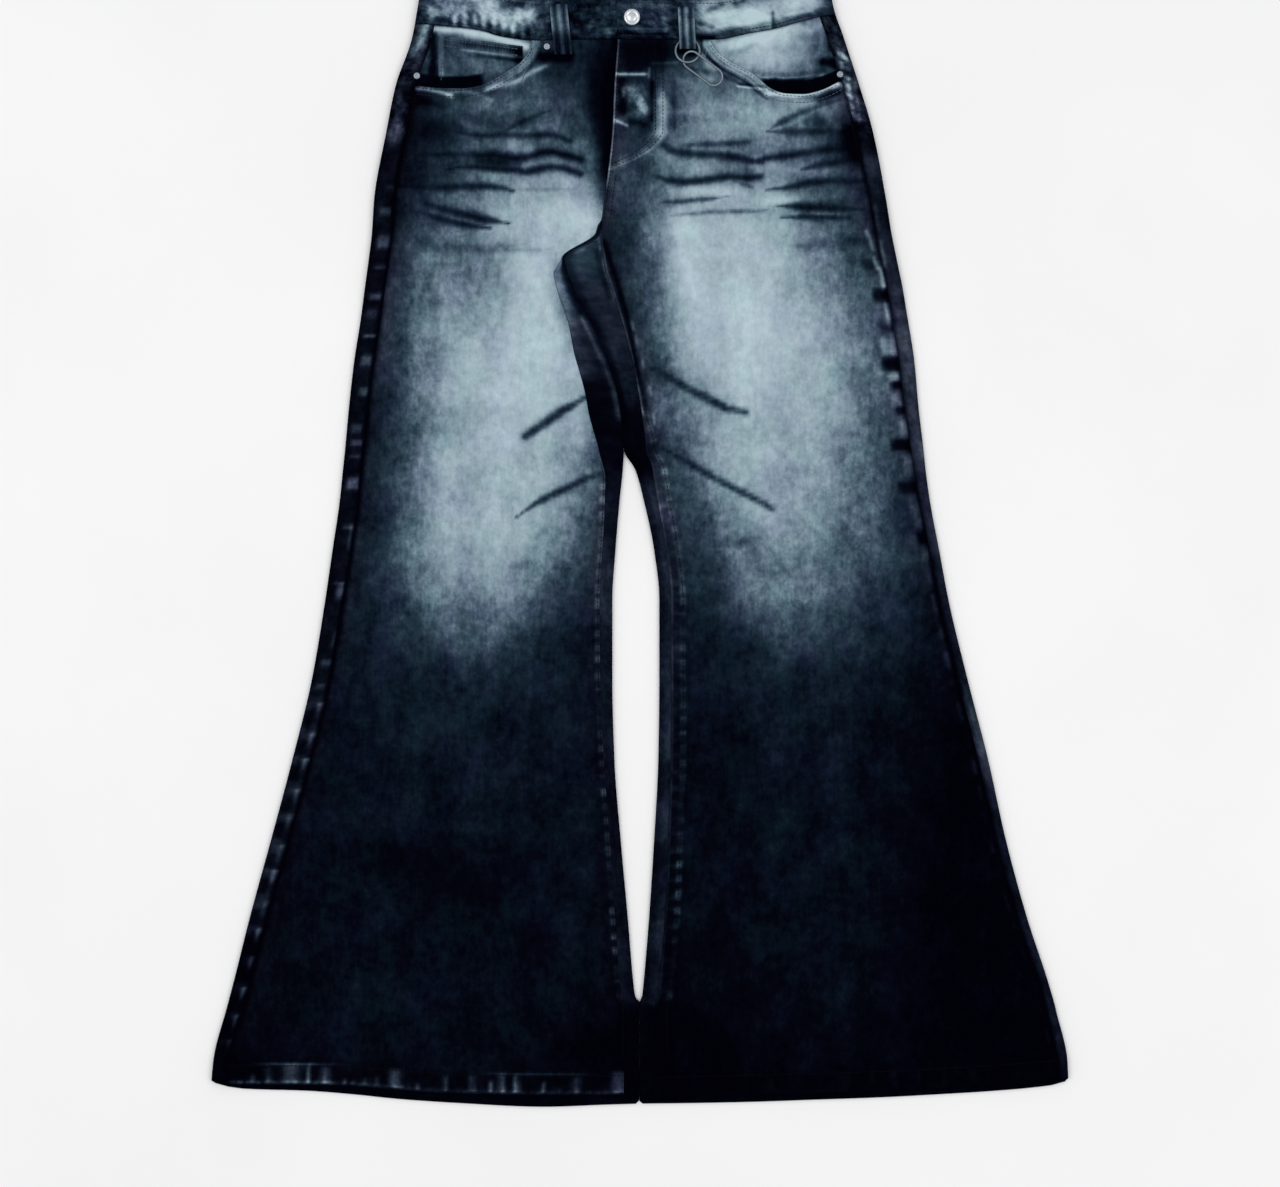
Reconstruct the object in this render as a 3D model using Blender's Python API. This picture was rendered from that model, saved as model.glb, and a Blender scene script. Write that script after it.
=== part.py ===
"""Flared jeans laid flat on the back, front up. Lengths are millimetres until the mesh is made.

x runs across, down runs from the top of the back waistband to the hem, z is up from the surface.
"""

import math

import bmesh
import bpy
import numpy as np

# ---------------------------------------------------------------- driving sizes (mm)
LENGTH = 1092.0          # top of the back waistband to the lowest back hem
ORIGIN_DOWN = 545.0      # the origin lies this far below the top
CLOTH = 1.0              # one layer of denim
GAP = 0.3                # between pieces that are sewn together
FLAT = 4.6               # height of a leg laid flat
HIP_LIFT = 1.3           # the hip lies on the back pockets and loops
HEM_HEIGHT = 21.0        # turned-up hem
HEM_CLOTH = 2.2          # its three layers, pressed
HEM_EXTRA = 1.4          # how much more the hem stands up
BAND_HEIGHT = 38.0       # waistband
BAND_CLOTH = 2.0
BAND_GAP = 0.6           # panels stop this far below its lower edge
BAND_TOP = 7.4           # its outer face on the front
BAND_UNDER = 6.6         # the underlapping end
BAND_OVER = 8.9          # the overlapping end
PATCH = 1.3              # how far a piece that lies on another one raises it
POCKET_UNDER = 8.0       # how far a pocket facing runs under the front
RING_WIRE = 2.0

# ---------------------------------------------------------------- sections of the legs
LEG_COLUMNS = ("down", "left_out", "left_in", "right_in", "right_out")
LEG_SECTIONS = (
    (0, -208, -20, -20, 182),
    (29, -212, -20, -20, 185),
    (67, -219, -21, -21, 197),
    (110, -234, -24, -24, 211),
    (154, -243, -26, -26, 224),
    (221, -255, -34, -34, 237),
    (252, -257, -39, -39, 242),
    (277, -260, -72, -72, 247),
    (306, -264, -63, -63, 253),
    (336, -268, -48, -48, 258),
    (374, -274, -31, -31, 264),
    (418, -279, -19, -19, 268),
    (461, -283, -15, -15, 273),
    (480, -285, -16, -4, 275),
    (509, -288, -19, 4, 279),
    (557, -295, -23, 14, 288),
    (605, -302, -26, 19, 297),
    (682, -315, -26, 19, 315.5),
    (758, -333.5, -24, 18, 335),
    (835, -354, -18, 14, 352),
    (912, -375, -11, 9, 373),
    (968, -389, -6, 3.6, 391.5),
    (988, -394, -1.6, 0.5, 397.5),
    (1000, -397.5, -0.9, 0, 400.5),
    (1046, -409.3, -0.9, 0, 411),
    (1092, -413, -0.9, 0, 413),
)

# How far the back panels come round to the front: to the side seam and to the inseam.
SEAM_COLUMNS = ("down", "left_side", "left_inseam", "right_inseam", "right_side")
SEAM_SECTIONS = (
    (0, 19.0, 0.0, 0.0, 16.5),
    (239, 20.0, 0.0, 0.0, 16.0),
    (246, 20.0, 2.9, 2.9, 16.0),
    (252, 20.0, 2.9, 2.9, 16.0),
    (277, 20.0, 2.9, 37.5, 15.5),
    (306, 19.5, 14.0, 36.5, 15.0),
    (336, 19.5, 21.0, 31.0, 15.0),
    (374, 19.5, 30.0, 24.0, 14.5),
    (418, 19.0, 31.0, 20.0, 13.5),
    (461, 19.0, 24.0, 21.0, 12.0),
    (488, 19.0, 16.0, 15.0, 11.0),
    (552, 19.0, 12.5, 11.5, 9.6),
    (640, 18.0, 12.0, 11.2, 9.6),
    (797, 17.0, 10.0, 12.5, 9.6),
    (902, 16.0, 12.0, 15.0, 9.6),
    (1090, 16.0, 15.0, 15.0, 9.6),
)

WAIST_COLUMNS = ("x", "down")
FRONT_WAIST_SEAM = (
    (-215, 51), (-198, 53), (-155, 57.6), (-132, 64), (-98, 68), (-40, 66.5), (20, 67),
    (72, 67), (107, 60.5), (129, 56.6), (153, 50), (174, 45), (190, 43),
)
BACK_WAIST_SEAM = ((-215, 51), (-120, 42), (-18, 38), (90, 40), (190, 43))
YOKE_SEAM = ((-240, 92), (-215, 93), (-20, 118), (178, 88), (220, 86))
POCKET_LEFT = (
    (-213, 114.2), (-191.5, 118.1), (-172, 117.1), (-153, 112.3), (-139, 104.6),
    (-126, 97), (-115, 90), (-107, 79.7), (-104, 71),
)
POCKET_RIGHT = (
    (69.6, 71), (74.4, 79.7), (84, 88.3), (95.5, 96), (108, 103.7), (123.4, 114.2),
    (139.7, 120), (157, 121.9), (174, 118.1), (191, 109.4),
)
FRONT_HEM_LEFT = ((-413, 1065), (-400, 1069.5), (-300, 1070.5), (-186, 1078), (-89, 1080), (0, 1080))
BACK_HEM_LEFT = (
    (-413, 1067), (-400, 1071.5), (-379, 1074.5), (-321, 1076.3), (-292, 1078.3), (-263, 1081), (-235, 1084),
    (-177, 1088), (-91, 1091.8), (-33, 1089.8), (0, 1088.8),
)
FRONT_HEM_RIGHT = ((0, 1082), (225, 1076), (385, 1066.5), (404, 1064.5), (413, 1062))
BACK_HEM_RIGHT = (
    (0, 1088.8), (53, 1088.2), (111, 1087), (168, 1085), (226, 1083), (284, 1080), (341, 1076.5), (385, 1072.5),
    (404, 1069.5), (413, 1065.5),
)
FLY_COLUMNS = ("down", "x")
FLY_EDGE = ((60, 24), (154, 24), (168, 15), (181, -4), (190, -26))

# Largest folds of the fronts: a soft ridge (height > 0) or trough from one end to the other.
FOLD_COLUMNS = ("x_a", "down_a", "x_b", "down_b", "width", "height")
FOLDS = (
    (-215, 168, -112, 160, 16, -0.6),
    (-200, 184, -90, 182, 16, 0.5),
    (-205, 206, -120, 210, 18, -0.5),
    (-212, 236, -125, 245, 20, -0.5),
    (190, 152, 124, 156, 16, -0.6),
    (205, 172, 50, 172, 18, 0.5),
    (205, 196, 120, 208, 18, -0.5),
    (206, 232, 120, 238, 20, -0.4),
    (-45, 405, -110, 448, 24, 0.8),
    (-40, 485, -118, 524, 24, -0.6),
    (14, 382, 104, 426, 24, 0.7),
    (24, 462, 126, 516, 24, -0.6),
    (-190, 700, -150, 900, 40, 0.6),
    (180, 690, 220, 900, 40, 0.6),
)

SPREAD = (0, 0.07, 0.14, 0.21, 0.28, 0.35, 0.42, 0.47, 0.505, 0.53, 0.555, 0.62, 0.69, 0.76, 0.83, 0.9, 0.955, 1)
STATIONS = (
    134, 152, 172, 192, 215, 236, 246, 252, 264, 277, 296, 311, 326, 348, 374, 396, 418, 440, 461, 488,
    518, 557, 605, 682, 758, 900, 968, 990, 1030,
)

# Hard pieces: name, x, down, radius
RIVETS = (("rivet_1", -213.6, 101.8, 4.4), ("rivet_2", -88.8, 74.0, 4.4), ("rivet_3", 192.5, 100.4, 4.4))
BUTTON_X, BUTTON_DOWN, BUTTON_RADIUS = -7.2, 46.0, 8.0
RING_X, RING_DOWN, RING_RADIUS = 46.1, 78.7, 11.5
RING_TOP_Z, RING_SLOPE = 8.8, 0.17
LINK_X, LINK_DOWN, LINK_Z = 60.6, 95.7, 11.94
LINK_HALF, LINK_WIDE = 21.5, 8.4
LINK_TURN, LINK_DROP, LINK_ROLL = -36.8, -1.0, 21.7


# ---------------------------------------------------------------- curves through the tables
def smooth_curve(points):
    """Monotone cubic through (at, value) points; straight on beyond both ends."""
    at = np.array([p[0] for p in points], float)
    value = np.array([p[1] for p in points], float)
    step = np.diff(at)
    slope = np.diff(value) / step
    tangent = np.zeros(len(at))
    for i in range(1, len(at) - 1):
        if slope[i - 1] * slope[i] > 0:
            w1 = 2 * step[i] + step[i - 1]
            w2 = step[i] + 2 * step[i - 1]
            tangent[i] = (w1 + w2) / (w1 / slope[i - 1] + w2 / slope[i])
    tangent[0], tangent[-1] = slope[0], slope[-1]

    def curve(where):
        where = np.clip(np.asarray(where, float), at[0], at[-1])
        i = np.clip(np.searchsorted(at, where, side="right") - 1, 0, len(step) - 1)
        t = (where - at[i]) / step[i]
        return (
            value[i] * (1 + 2 * t) * (1 - t) ** 2
            + tangent[i] * step[i] * t * (1 - t) ** 2
            + value[i + 1] * t * t * (3 - 2 * t)
            - tangent[i + 1] * step[i] * t * t * (1 - t)
        )

    return curve


def column(table, names, name):
    """One named column of a table, as a curve of its first column."""
    index = names.index(name)
    return smooth_curve([(row[0], row[index]) for row in table])


OUT = {-1: column(LEG_SECTIONS, LEG_COLUMNS, "left_out"), 1: column(LEG_SECTIONS, LEG_COLUMNS, "right_out")}
IN_LEFT = column(LEG_SECTIONS, LEG_COLUMNS, "left_in")
IN_RIGHT = column(LEG_SECTIONS, LEG_COLUMNS, "right_in")
LEGS_PART = 461


def inner_edge(down):
    """Right inner edge: the legs touch along one line down to where they part."""
    return np.where(np.asarray(down) < LEGS_PART, IN_LEFT(down), IN_RIGHT(down))


IN = {-1: IN_LEFT, 1: inner_edge}
SIDE = {-1: column(SEAM_SECTIONS, SEAM_COLUMNS, "left_side"), 1: column(SEAM_SECTIONS, SEAM_COLUMNS, "right_side")}
INSEAM = {
    -1: column(SEAM_SECTIONS, SEAM_COLUMNS, "left_inseam"),
    1: column(SEAM_SECTIONS, SEAM_COLUMNS, "right_inseam"),
}
FRONT_WAIST = smooth_curve(FRONT_WAIST_SEAM)
BACK_WAIST = smooth_curve(BACK_WAIST_SEAM)
YOKE = smooth_curve(YOKE_SEAM)
POCKET = {-1: smooth_curve(POCKET_LEFT), 1: smooth_curve(POCKET_RIGHT)}
POCKET_LINE = {-1: POCKET_LEFT, 1: POCKET_RIGHT}
POCKET_START = {-1: -104.0, 1: 69.6}
FRONT_HEM = {-1: smooth_curve(FRONT_HEM_LEFT), 1: smooth_curve(FRONT_HEM_RIGHT)}
BACK_HEM = {-1: smooth_curve(BACK_HEM_LEFT), 1: smooth_curve(BACK_HEM_RIGHT)}
FLY = smooth_curve([(down, x) for down, x in FLY_EDGE])


def ease(value):
    value = min(max(value, 0.0), 1.0)
    return value * value * (3 - 2 * value)


# ---------------------------------------------------------------- heights
def lift(down):
    """Underside of the back: raised where the hip lies on its pockets and loops."""
    return HIP_LIFT * (1 - ease((down - 296) / 30))


def to_segment(x, down, ax, ad, bx, bd):
    """(distance, share along) of a point from a segment."""
    ux, ud = bx - ax, bd - ad
    share = ((x - ax) * ux + (down - ad) * ud) / (ux * ux + ud * ud)
    share = min(max(share, 0.0), 1.0)
    return math.hypot(x - ax - share * ux, down - ad - share * ud), share


def to_line(x, down, line):
    return min(to_segment(x, down, *a, *b)[0] for a, b in zip(line, line[1:]))


def pocket_raise(side, x, down):
    """The front lies on the pocket facing, and on the coin pocket too on the left."""
    line = POCKET_LINE[side]
    start = line[-1] if side < 0 else line[0]
    near = min(to_line(x, down, line), to_segment(x, down, *start, start[0], start[1] - 12)[0])
    height = PATCH
    if side < 0:
        height += PATCH * ease((-96 - x) / 12)
    return height * (1 - ease((near - 18) / 16))


def fly_raise(x, down):
    """The overlapping front lies on the fly facing."""
    across = ease((FLY(min(down - 12, 189.9)) + 22 - x) / 11)
    return PATCH * across * (1 - ease((down - 200) / 12))


def folds(x, down):
    height = 0.0
    for ax, ad, bx, bd, width, tall in FOLDS:
        near, share = to_segment(x, down, ax, ad, bx, bd)
        if near < width:
            height += tall * (1 - ease(near / width)) * ease(4 * share) * ease(4 - 4 * share)
    return height


def rim(down, hem):
    """Top of the cloth at a folded edge."""
    return FLAT + lift(down) + HEM_EXTRA * ease((HEM_HEIGHT + 1.5 - (hem - down)) / 1.5)


def wall(down, hem):
    return CLOTH + (HEM_CLOTH - CLOTH) * ease((HEM_HEIGHT + 1.5 - (hem - down)) / 1.5)


def front_top(side, x, down):
    """Outer face of a front panel."""
    edge = min(abs(x - OUT[side](down)), abs(x - IN[side](down)) + 8)
    top = rim(down, FRONT_HEM[side](x)) + folds(x, down) * ease((edge - 18) / 20)
    if down < 160:
        top += pocket_raise(side, x, down)
    if side > 0 and down < 215:
        top = max(top, rim(down, 2000) + fly_raise(x, down))
    return top


# ---------------------------------------------------------------- the wrapped back of a leg
SEGMENTS = (("strip_side", 1), ("fold_out", 4), ("under", 6), ("fold_in", 4), ("strip_inseam", 1))


def section_stops():
    stops = []
    for name, count in SEGMENTS:
        first = 0 if not stops else 1
        stops += [(name, i / count) for i in range(first, count + 1)]
    return stops


def back_point(side, name, t, down, hem):
    """(x, z, outward x, outward z) on the outer face of the back panel's section."""
    top, low = rim(down, hem), lift(down)
    radius = (top - low) / 2
    out = OUT[side](down)
    inner = IN[side](down) + side * GAP / 2
    crotch = ease((down - 239) / 7)
    small = radius * crotch + 1.9 * (1 - crotch)
    if name == "strip_side":
        x = out - side * (SIDE[side](down) * (1 - t) + radius * t)
        return x, top, 0.0, 1.0
    if name == "fold_out":
        angle = math.pi * (0.5 - t)
        nx, nz = side * math.cos(angle), math.sin(angle)
        return out - side * radius + radius * nx, (top + low) / 2 + radius * nz, nx, nz
    if name == "under":
        x = (out - side * radius) * (1 - t) + (inner + side * small) * t
        return x, low, 0.0, -1.0
    sweep = math.pi / 2 * (1 + crotch)
    angle = -math.pi / 2 - sweep * (t if name == "fold_in" else 1.0)
    nx, nz = side * math.cos(angle), math.sin(angle)
    x = inner + side * small + small * nx
    z = low + small + small * nz
    if name == "fold_in":
        return x, z, nx, nz
    run = max(INSEAM[side](down) - radius, 0.5) * t
    return x + run * nz * side, z - run * nx * side, nx, nz


def back_hem(side, name, t, x):
    """The hem of the upper side runs into that of the underside through the folded edge."""
    share = {"strip_side": 0.0, "fold_out": t, "under": 1.0, "fold_in": 1 - t, "strip_inseam": 0.0}[name]
    return FRONT_HEM[side](x) * (1 - share) + BACK_HEM[side](x) * share


def wrap_column(side, name, t, downs):
    """Outer and inner points of one column of the wrapped back. downs(x, hem) gives its rows."""
    x, hem = back_point(side, name, t, 600, 1080)[0], 1080
    outer, inner = [], []
    front = name == "strip_side" or (name == "fold_out" and t < 0.5)
    count = len(downs(x, hem, front))
    for row in range(count):
        down = downs(x, hem, front)[row]
        for _ in range(4):
            hem = back_hem(side, name, t, x)
            down = downs(x, hem, front)[row]
            x, z, nx, nz = back_point(side, name, t, down, hem)
        cloth = wall(down, hem)
        outer.append((x, down, z))
        inner.append((x - nx * cloth, down, z - nz * cloth))
    return outer, inner


# ---------------------------------------------------------------- meshes
def place(points):
    """Millimetres with down from the top, to metres about the middle of the object."""
    points = np.array(points, float)
    return np.stack([points[..., 0], ORIGIN_DOWN - points[..., 1], points[..., 2]], -1) / 1000


def material(name, colour, rough, metal):
    made = bpy.data.materials.get(name) or bpy.data.materials.new(name)
    made.use_nodes = True
    shader = made.node_tree.nodes["Principled BSDF"]
    shader.inputs["Base Color"].default_value = (*colour, 1)
    shader.inputs["Roughness"].default_value = rough
    shader.inputs["Metallic"].default_value = metal
    made.diffuse_color = (*colour, 1)
    return made


DENIM = ("denim", (0.035, 0.06, 0.09), 0.9, 0.0)
FACING = ("denim_facing", (0.16, 0.22, 0.27), 0.9, 0.0)
METAL = ("polished_metal", (0.62, 0.62, 0.6), 0.25, 1.0)


def add_object(name, points, faces, look):
    mesh = bpy.data.meshes.new(name)
    mesh.from_pydata([tuple(p) for p in points], [], faces)
    made = bpy.data.objects.new(name, mesh)
    bpy.context.collection.objects.link(made)
    mesh.materials.append(material(*look))
    work = bmesh.new()
    work.from_mesh(mesh)
    bmesh.ops.recalc_face_normals(work, faces=work.faces)
    if work.calc_volume(signed=True) < 0:
        bmesh.ops.reverse_faces(work, faces=work.faces)
    work.to_mesh(mesh)
    work.free()
    return made


def add_wall(name, outer, inner, look):
    """A closed wall between two grids of points."""
    outer, inner = place(outer), place(inner)
    rows, cols = outer.shape[:2]
    points = np.concatenate([outer.reshape(-1, 3), inner.reshape(-1, 3)])
    shift = rows * cols

    def quad(a, b, c, d):
        faces.append((a, b, c, d))

    faces = []
    for r in range(rows - 1):
        for c in range(cols - 1):
            a, b = r * cols + c, r * cols + c + 1
            d, e = a + cols, b + cols
            quad(a, b, e, d)
            quad(a + shift, d + shift, e + shift, b + shift)
    for c in range(cols - 1):
        last = (rows - 1) * cols
        quad(c, c + shift, c + 1 + shift, c + 1)
        quad(last + c, last + c + 1, last + c + 1 + shift, last + c + shift)
    for r in range(rows - 1):
        a, b = r * cols, (r + 1) * cols
        quad(a, b, b + shift, a + shift)
        quad(a + cols - 1, a + cols - 1 + shift, b + cols - 1 + shift, b + cols - 1)
    return add_object(name, points, faces, look)


def add_wrap(name, side, downs, look=DENIM):
    columns = [wrap_column(side, seg, t, downs) for seg, t in section_stops()]
    outer = np.array([c[0] for c in columns]).transpose(1, 0, 2)
    inner = np.array([c[1] for c in columns]).transpose(1, 0, 2)
    return add_wall(name, outer, inner, look)


def solve(bound, x_at, low, high):
    """The down at which a slanting column meets an edge."""
    for _ in range(40):
        middle = (low + high) / 2
        if middle < bound(float(x_at(middle))):
            low = middle
        else:
            high = middle
    return (low + high) / 2


def add_front(side, name):
    """Front panel: side seam to inseam or centre front, pocket curve and waist seam to hem."""

    def side_x(down):
        return OUT[side](down) - side * (SIDE[side](down) + GAP)

    def inner_x(down):
        return IN[side](down) + side * (max(INSEAM[side](down), 0) + GAP / 2 + GAP * ease((down - 239) / 7))

    def bound(x):
        if (x - POCKET_START[side]) * side > 0:
            return float(POCKET[side](x))
        return float(FRONT_WAIST(x)) + BAND_GAP

    outer, inner = [], []
    for spread in SPREAD:
        def x_at(down, spread=spread):
            return side_x(down) * (1 - spread) + inner_x(down) * spread

        first = solve(bound, x_at, 40, 133)
        hem = float(FRONT_HEM[side](x_at(1080)))
        rows = [first, (first + STATIONS[0]) / 2, *STATIONS, hem - HEM_HEIGHT - 1.5, hem - HEM_HEIGHT, hem]
        line_out, line_in = [], []
        for down in rows:
            x = float(x_at(down))
            top = front_top(side, x, down)
            line_out.append((x, down, top))
            line_in.append((x, down, top - wall(down, hem)))
        outer.append(line_out)
        inner.append(line_in)
    outer = np.array(outer).transpose(1, 0, 2)
    inner = np.array(inner).transpose(1, 0, 2)
    return add_wall(name, outer, inner, DENIM)


def add_patch(name, xs, first, last, rows, top, cloth, look):
    """A flat piece between two edges, first(x) and last(x), with its outer face at top(x, down)."""
    outer = []
    for share in np.linspace(0, 1, rows):
        line = []
        for x in xs:
            down = first(x) * (1 - share) + last(x) * share
            line.append((x, down, top(x, down)))
        outer.append(line)
    outer = np.array(outer, float)
    return add_wall(name, outer, outer - [0, 0, cloth], look)


def add_waistband():
    """One folded strip round the waist; its right end laps over the left one at the button."""
    stops = []
    for share in np.linspace(0, 1, 16):
        x = 15 * (1 - share) - 200 * share
        under = ease((x + 45) / 15)
        stops.append(("front", x, BAND_TOP * (1 - under) + BAND_UNDER * under, 0.0, 1.0))
    radius = (BAND_TOP - HIP_LIFT) / 2
    for share in np.linspace(0, 1, 7):
        stops.append(("left", share, (BAND_TOP + HIP_LIFT) / 2, math.pi * (0.5 - share), 0))
    for x in np.linspace(-195, 168, 15):
        stops.append(("back", x, HIP_LIFT, 0.0, -1.0))
    for share in np.linspace(0, 1, 7):
        stops.append(("right", share, (BAND_TOP + HIP_LIFT) / 2, math.pi * (share - 0.5), 0))
    for x in np.linspace(172, -21.6, 16):
        over = ease((34 - x) / 16)
        stops.append(("front", x, BAND_TOP * (1 - over) + BAND_OVER * over, 0.0, 1.0))
    outer, inner = [], []
    for share in (0.0, 0.5, 1.0):
        line_out, line_in = [], []
        for where, x, z, nx, nz in stops:
            if where in ("left", "right"):
                side = -1 if where == "left" else 1
                angle = nx
                nx, nz = side * math.cos(angle), math.sin(angle)
                seam = 51.0 if side < 0 else 43.0
                down = seam - GAP / 2 - BAND_HEIGHT * (1 - share)
                x = OUT[side](down) - side * radius + radius * nx
                z = z + radius * nz
            else:
                seam = FRONT_WAIST(x) if where == "front" else BACK_WAIST(x)
                down = seam - GAP / 2 - BAND_HEIGHT * (1 - share)
            line_out.append((x, down, z))
            line_in.append((x - nx * BAND_CLOTH, down, z - nz * BAND_CLOTH))
        outer.append(line_out)
        inner.append(line_in)
    return add_wall("waistband", outer, inner, DENIM)


def add_buttonhole(band):
    """Slot through the overlapping end only."""
    centre = place([(BUTTON_X, BUTTON_DOWN, BAND_OVER - 0.6)])[0]
    bpy.ops.mesh.primitive_cube_add(size=1, location=centre)
    cutter = bpy.context.object
    cutter.name = "buttonhole_cutter"
    cutter.scale = (0.016, 0.0052, 0.0032)
    bpy.ops.object.transform_apply(location=False, rotation=False, scale=True)
    cutter.hide_render = True
    cutter.display_type = "WIRE"
    cut = band.modifiers.new("buttonhole", "BOOLEAN")
    cut.operation = "DIFFERENCE"
    cut.solver = "EXACT"
    cut.object = cutter


LOOP_COLUMNS = ("share", "rise")
LOOP_ARCH = ((0, 0), (0.1, 0), (0.3, 1.1), (0.7, 1.1), (0.9, 0), (1, 0))
LOOP_RING_ARCH = ((0, 0), (0.1, 0), (0.35, 2.0), (0.7, 4.1), (0.89, 4.1), (1, 0.2))


def add_loop(name, x_top, x_low, first, last, wide, under, arch, cloth=1.6):
    """Belt loop: a strip whose face towards the band is at under + its arch."""
    shares = sorted({row[0] for row in arch})
    outer, inner = [], []
    for share in shares:
        rise = [row[1] for row in arch if row[0] == share][0]
        down = first * (1 - share) + last * share
        middle = x_top * (1 - share) + x_low * share
        line = [(middle + wide * t, down, under + rise) for t in (-0.5, -0.2, 0.2, 0.5)]
        inner.append(line)
        outer.append([(x, d, z + cloth) for x, d, z in line])
    return add_wall(name, outer, inner, DENIM)


def add_turned(name, x, down, z, profile, steps):
    """A solid of revolution about the vertical; profile is (radius, height) from axis to axis."""
    centre = place([(x, down, z)])[0]
    points, faces, rings = [], [], []
    for radius, height in profile:
        if radius == 0:
            rings.append([len(points)])
            points.append((centre[0], centre[1], centre[2] + height / 1000))
            continue
        ring = []
        for i in range(steps):
            angle = 2 * math.pi * i / steps
            ring.append(len(points))
            px, py = math.cos(angle) * radius / 1000, math.sin(angle) * radius / 1000
            points.append((centre[0] + px, centre[1] + py, centre[2] + height / 1000))
        rings.append(ring)
    for low, high in zip(rings, rings[1:]):
        for i in range(steps):
            j = (i + 1) % steps
            if len(low) == 1:
                faces.append((low[0], high[i], high[j]))
            elif len(high) == 1:
                faces.append((low[i], low[j], high[0]))
            else:
                faces.append((low[i], low[j], high[j], high[i]))
    return add_object(name, points, faces, METAL)


def add_wire(name, path, radius, around=8):
    """A closed round wire along a path of points (x, down, z)."""
    path = place(path)
    count = len(path)
    normal = np.cross(path[1] - path[0], path[count // 3] - path[0])
    normal /= np.linalg.norm(normal)
    points, faces = [], []
    for i in range(count):
        along = path[(i + 1) % count] - path[i - 1]
        along /= np.linalg.norm(along)
        across = np.cross(along, normal)
        for k in range(around):
            angle = 2 * math.pi * k / around
            points.append(path[i] + radius / 1000 * (math.cos(angle) * across + math.sin(angle) * normal))
    for i in range(count):
        for k in range(around):
            a, b = i * around + k, i * around + (k + 1) % around
            c, d = (i + 1) % count * around + k, (i + 1) % count * around + (k + 1) % around
            faces.append((a, b, d, c))
    return add_object(name, points, faces, METAL)


def ring_path(steps=28):
    """Circle through the loop; it rises away from the loop, lying on the link."""
    path = []
    for i in range(steps):
        angle = 2 * math.pi * i / steps
        along = RING_RADIUS * (1 - math.cos(angle))
        x = RING_X + RING_RADIUS * math.sin(angle)
        path.append((x, RING_DOWN - RING_RADIUS + along * math.cos(RING_SLOPE), RING_TOP_Z + along * math.sin(RING_SLOPE)))
    return path


def link_path(steps=10):
    """Long oval link: two half circles joined by straights, turned, dropped and rolled."""
    flat = []
    straight = LINK_HALF - LINK_WIDE
    for sign in (1, -1):
        for i in range(steps + 1):
            angle = math.pi * (i / steps - 0.5)
            flat.append((sign * (straight + LINK_WIDE * math.cos(angle)), sign * LINK_WIDE * math.sin(angle), 0))
    points = np.array(flat)
    roll, drop, turn = map(math.radians, (LINK_ROLL, LINK_DROP, LINK_TURN))
    about_x = np.array([[1, 0, 0], [0, math.cos(roll), -math.sin(roll)], [0, math.sin(roll), math.cos(roll)]])
    about_y = np.array([[math.cos(drop), 0, math.sin(drop)], [0, 1, 0], [-math.sin(drop), 0, math.cos(drop)]])
    about_z = np.array([[math.cos(turn), -math.sin(turn), 0], [math.sin(turn), math.cos(turn), 0], [0, 0, 1]])
    points = points @ (about_z @ about_y @ about_x).T
    return [(LINK_X + x, LINK_DOWN - y, LINK_Z + z) for x, y, z in points]


# ---------------------------------------------------------------- build
def clear_scene():
    for item in list(bpy.data.objects):
        bpy.data.objects.remove(item, do_unlink=True)


def yoke_rows(x, hem, front):
    first = float(FRONT_WAIST(x) if front else BACK_WAIST(x)) + BAND_GAP
    last = float(YOKE(x)) - GAP / 2
    return [first, (first + last) / 2, last]


def back_rows(x, hem, front):
    first = float(YOKE(x)) + GAP / 2
    turned = [hem - HEM_HEIGHT - 1.5, hem - HEM_HEIGHT, hem]
    return [first, (first + STATIONS[0]) / 2, *STATIONS, *turned]


def add_facing(side, name):
    """Pocket facing: waist seam to below the opening, its outer edge on the side seam."""
    outer = []
    rows, spreads = 6, np.linspace(0, 1, 12)
    for share in np.linspace(0, 1, rows):
        line = []
        for spread in spreads:
            x = POCKET_START[side] - side * POCKET_UNDER
            for _ in range(6):
                first = float(FRONT_WAIST(x)) + BAND_GAP
                inside = x if (x - POCKET_START[side]) * side > 0 else POCKET_START[side]
                last = float(POCKET[side](inside)) + POCKET_UNDER
                down = first * (1 - share) + last * share
                seam = OUT[side](down) - side * (SIDE[side](down) + BAND_GAP)
                x = seam * (1 - spread) + (POCKET_START[side] - side * POCKET_UNDER) * spread
            line.append((x, down, rim(down, 2000)))
        outer.append(line)
    outer = np.array(outer, float)
    return add_wall(name, outer, outer - [0, 0, CLOTH], FACING)


def pocket_outline(x_middle, x):
    """Lower edge of a back pocket: a shallow point."""
    return 290 - 22 * abs(x - x_middle) / 66


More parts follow.
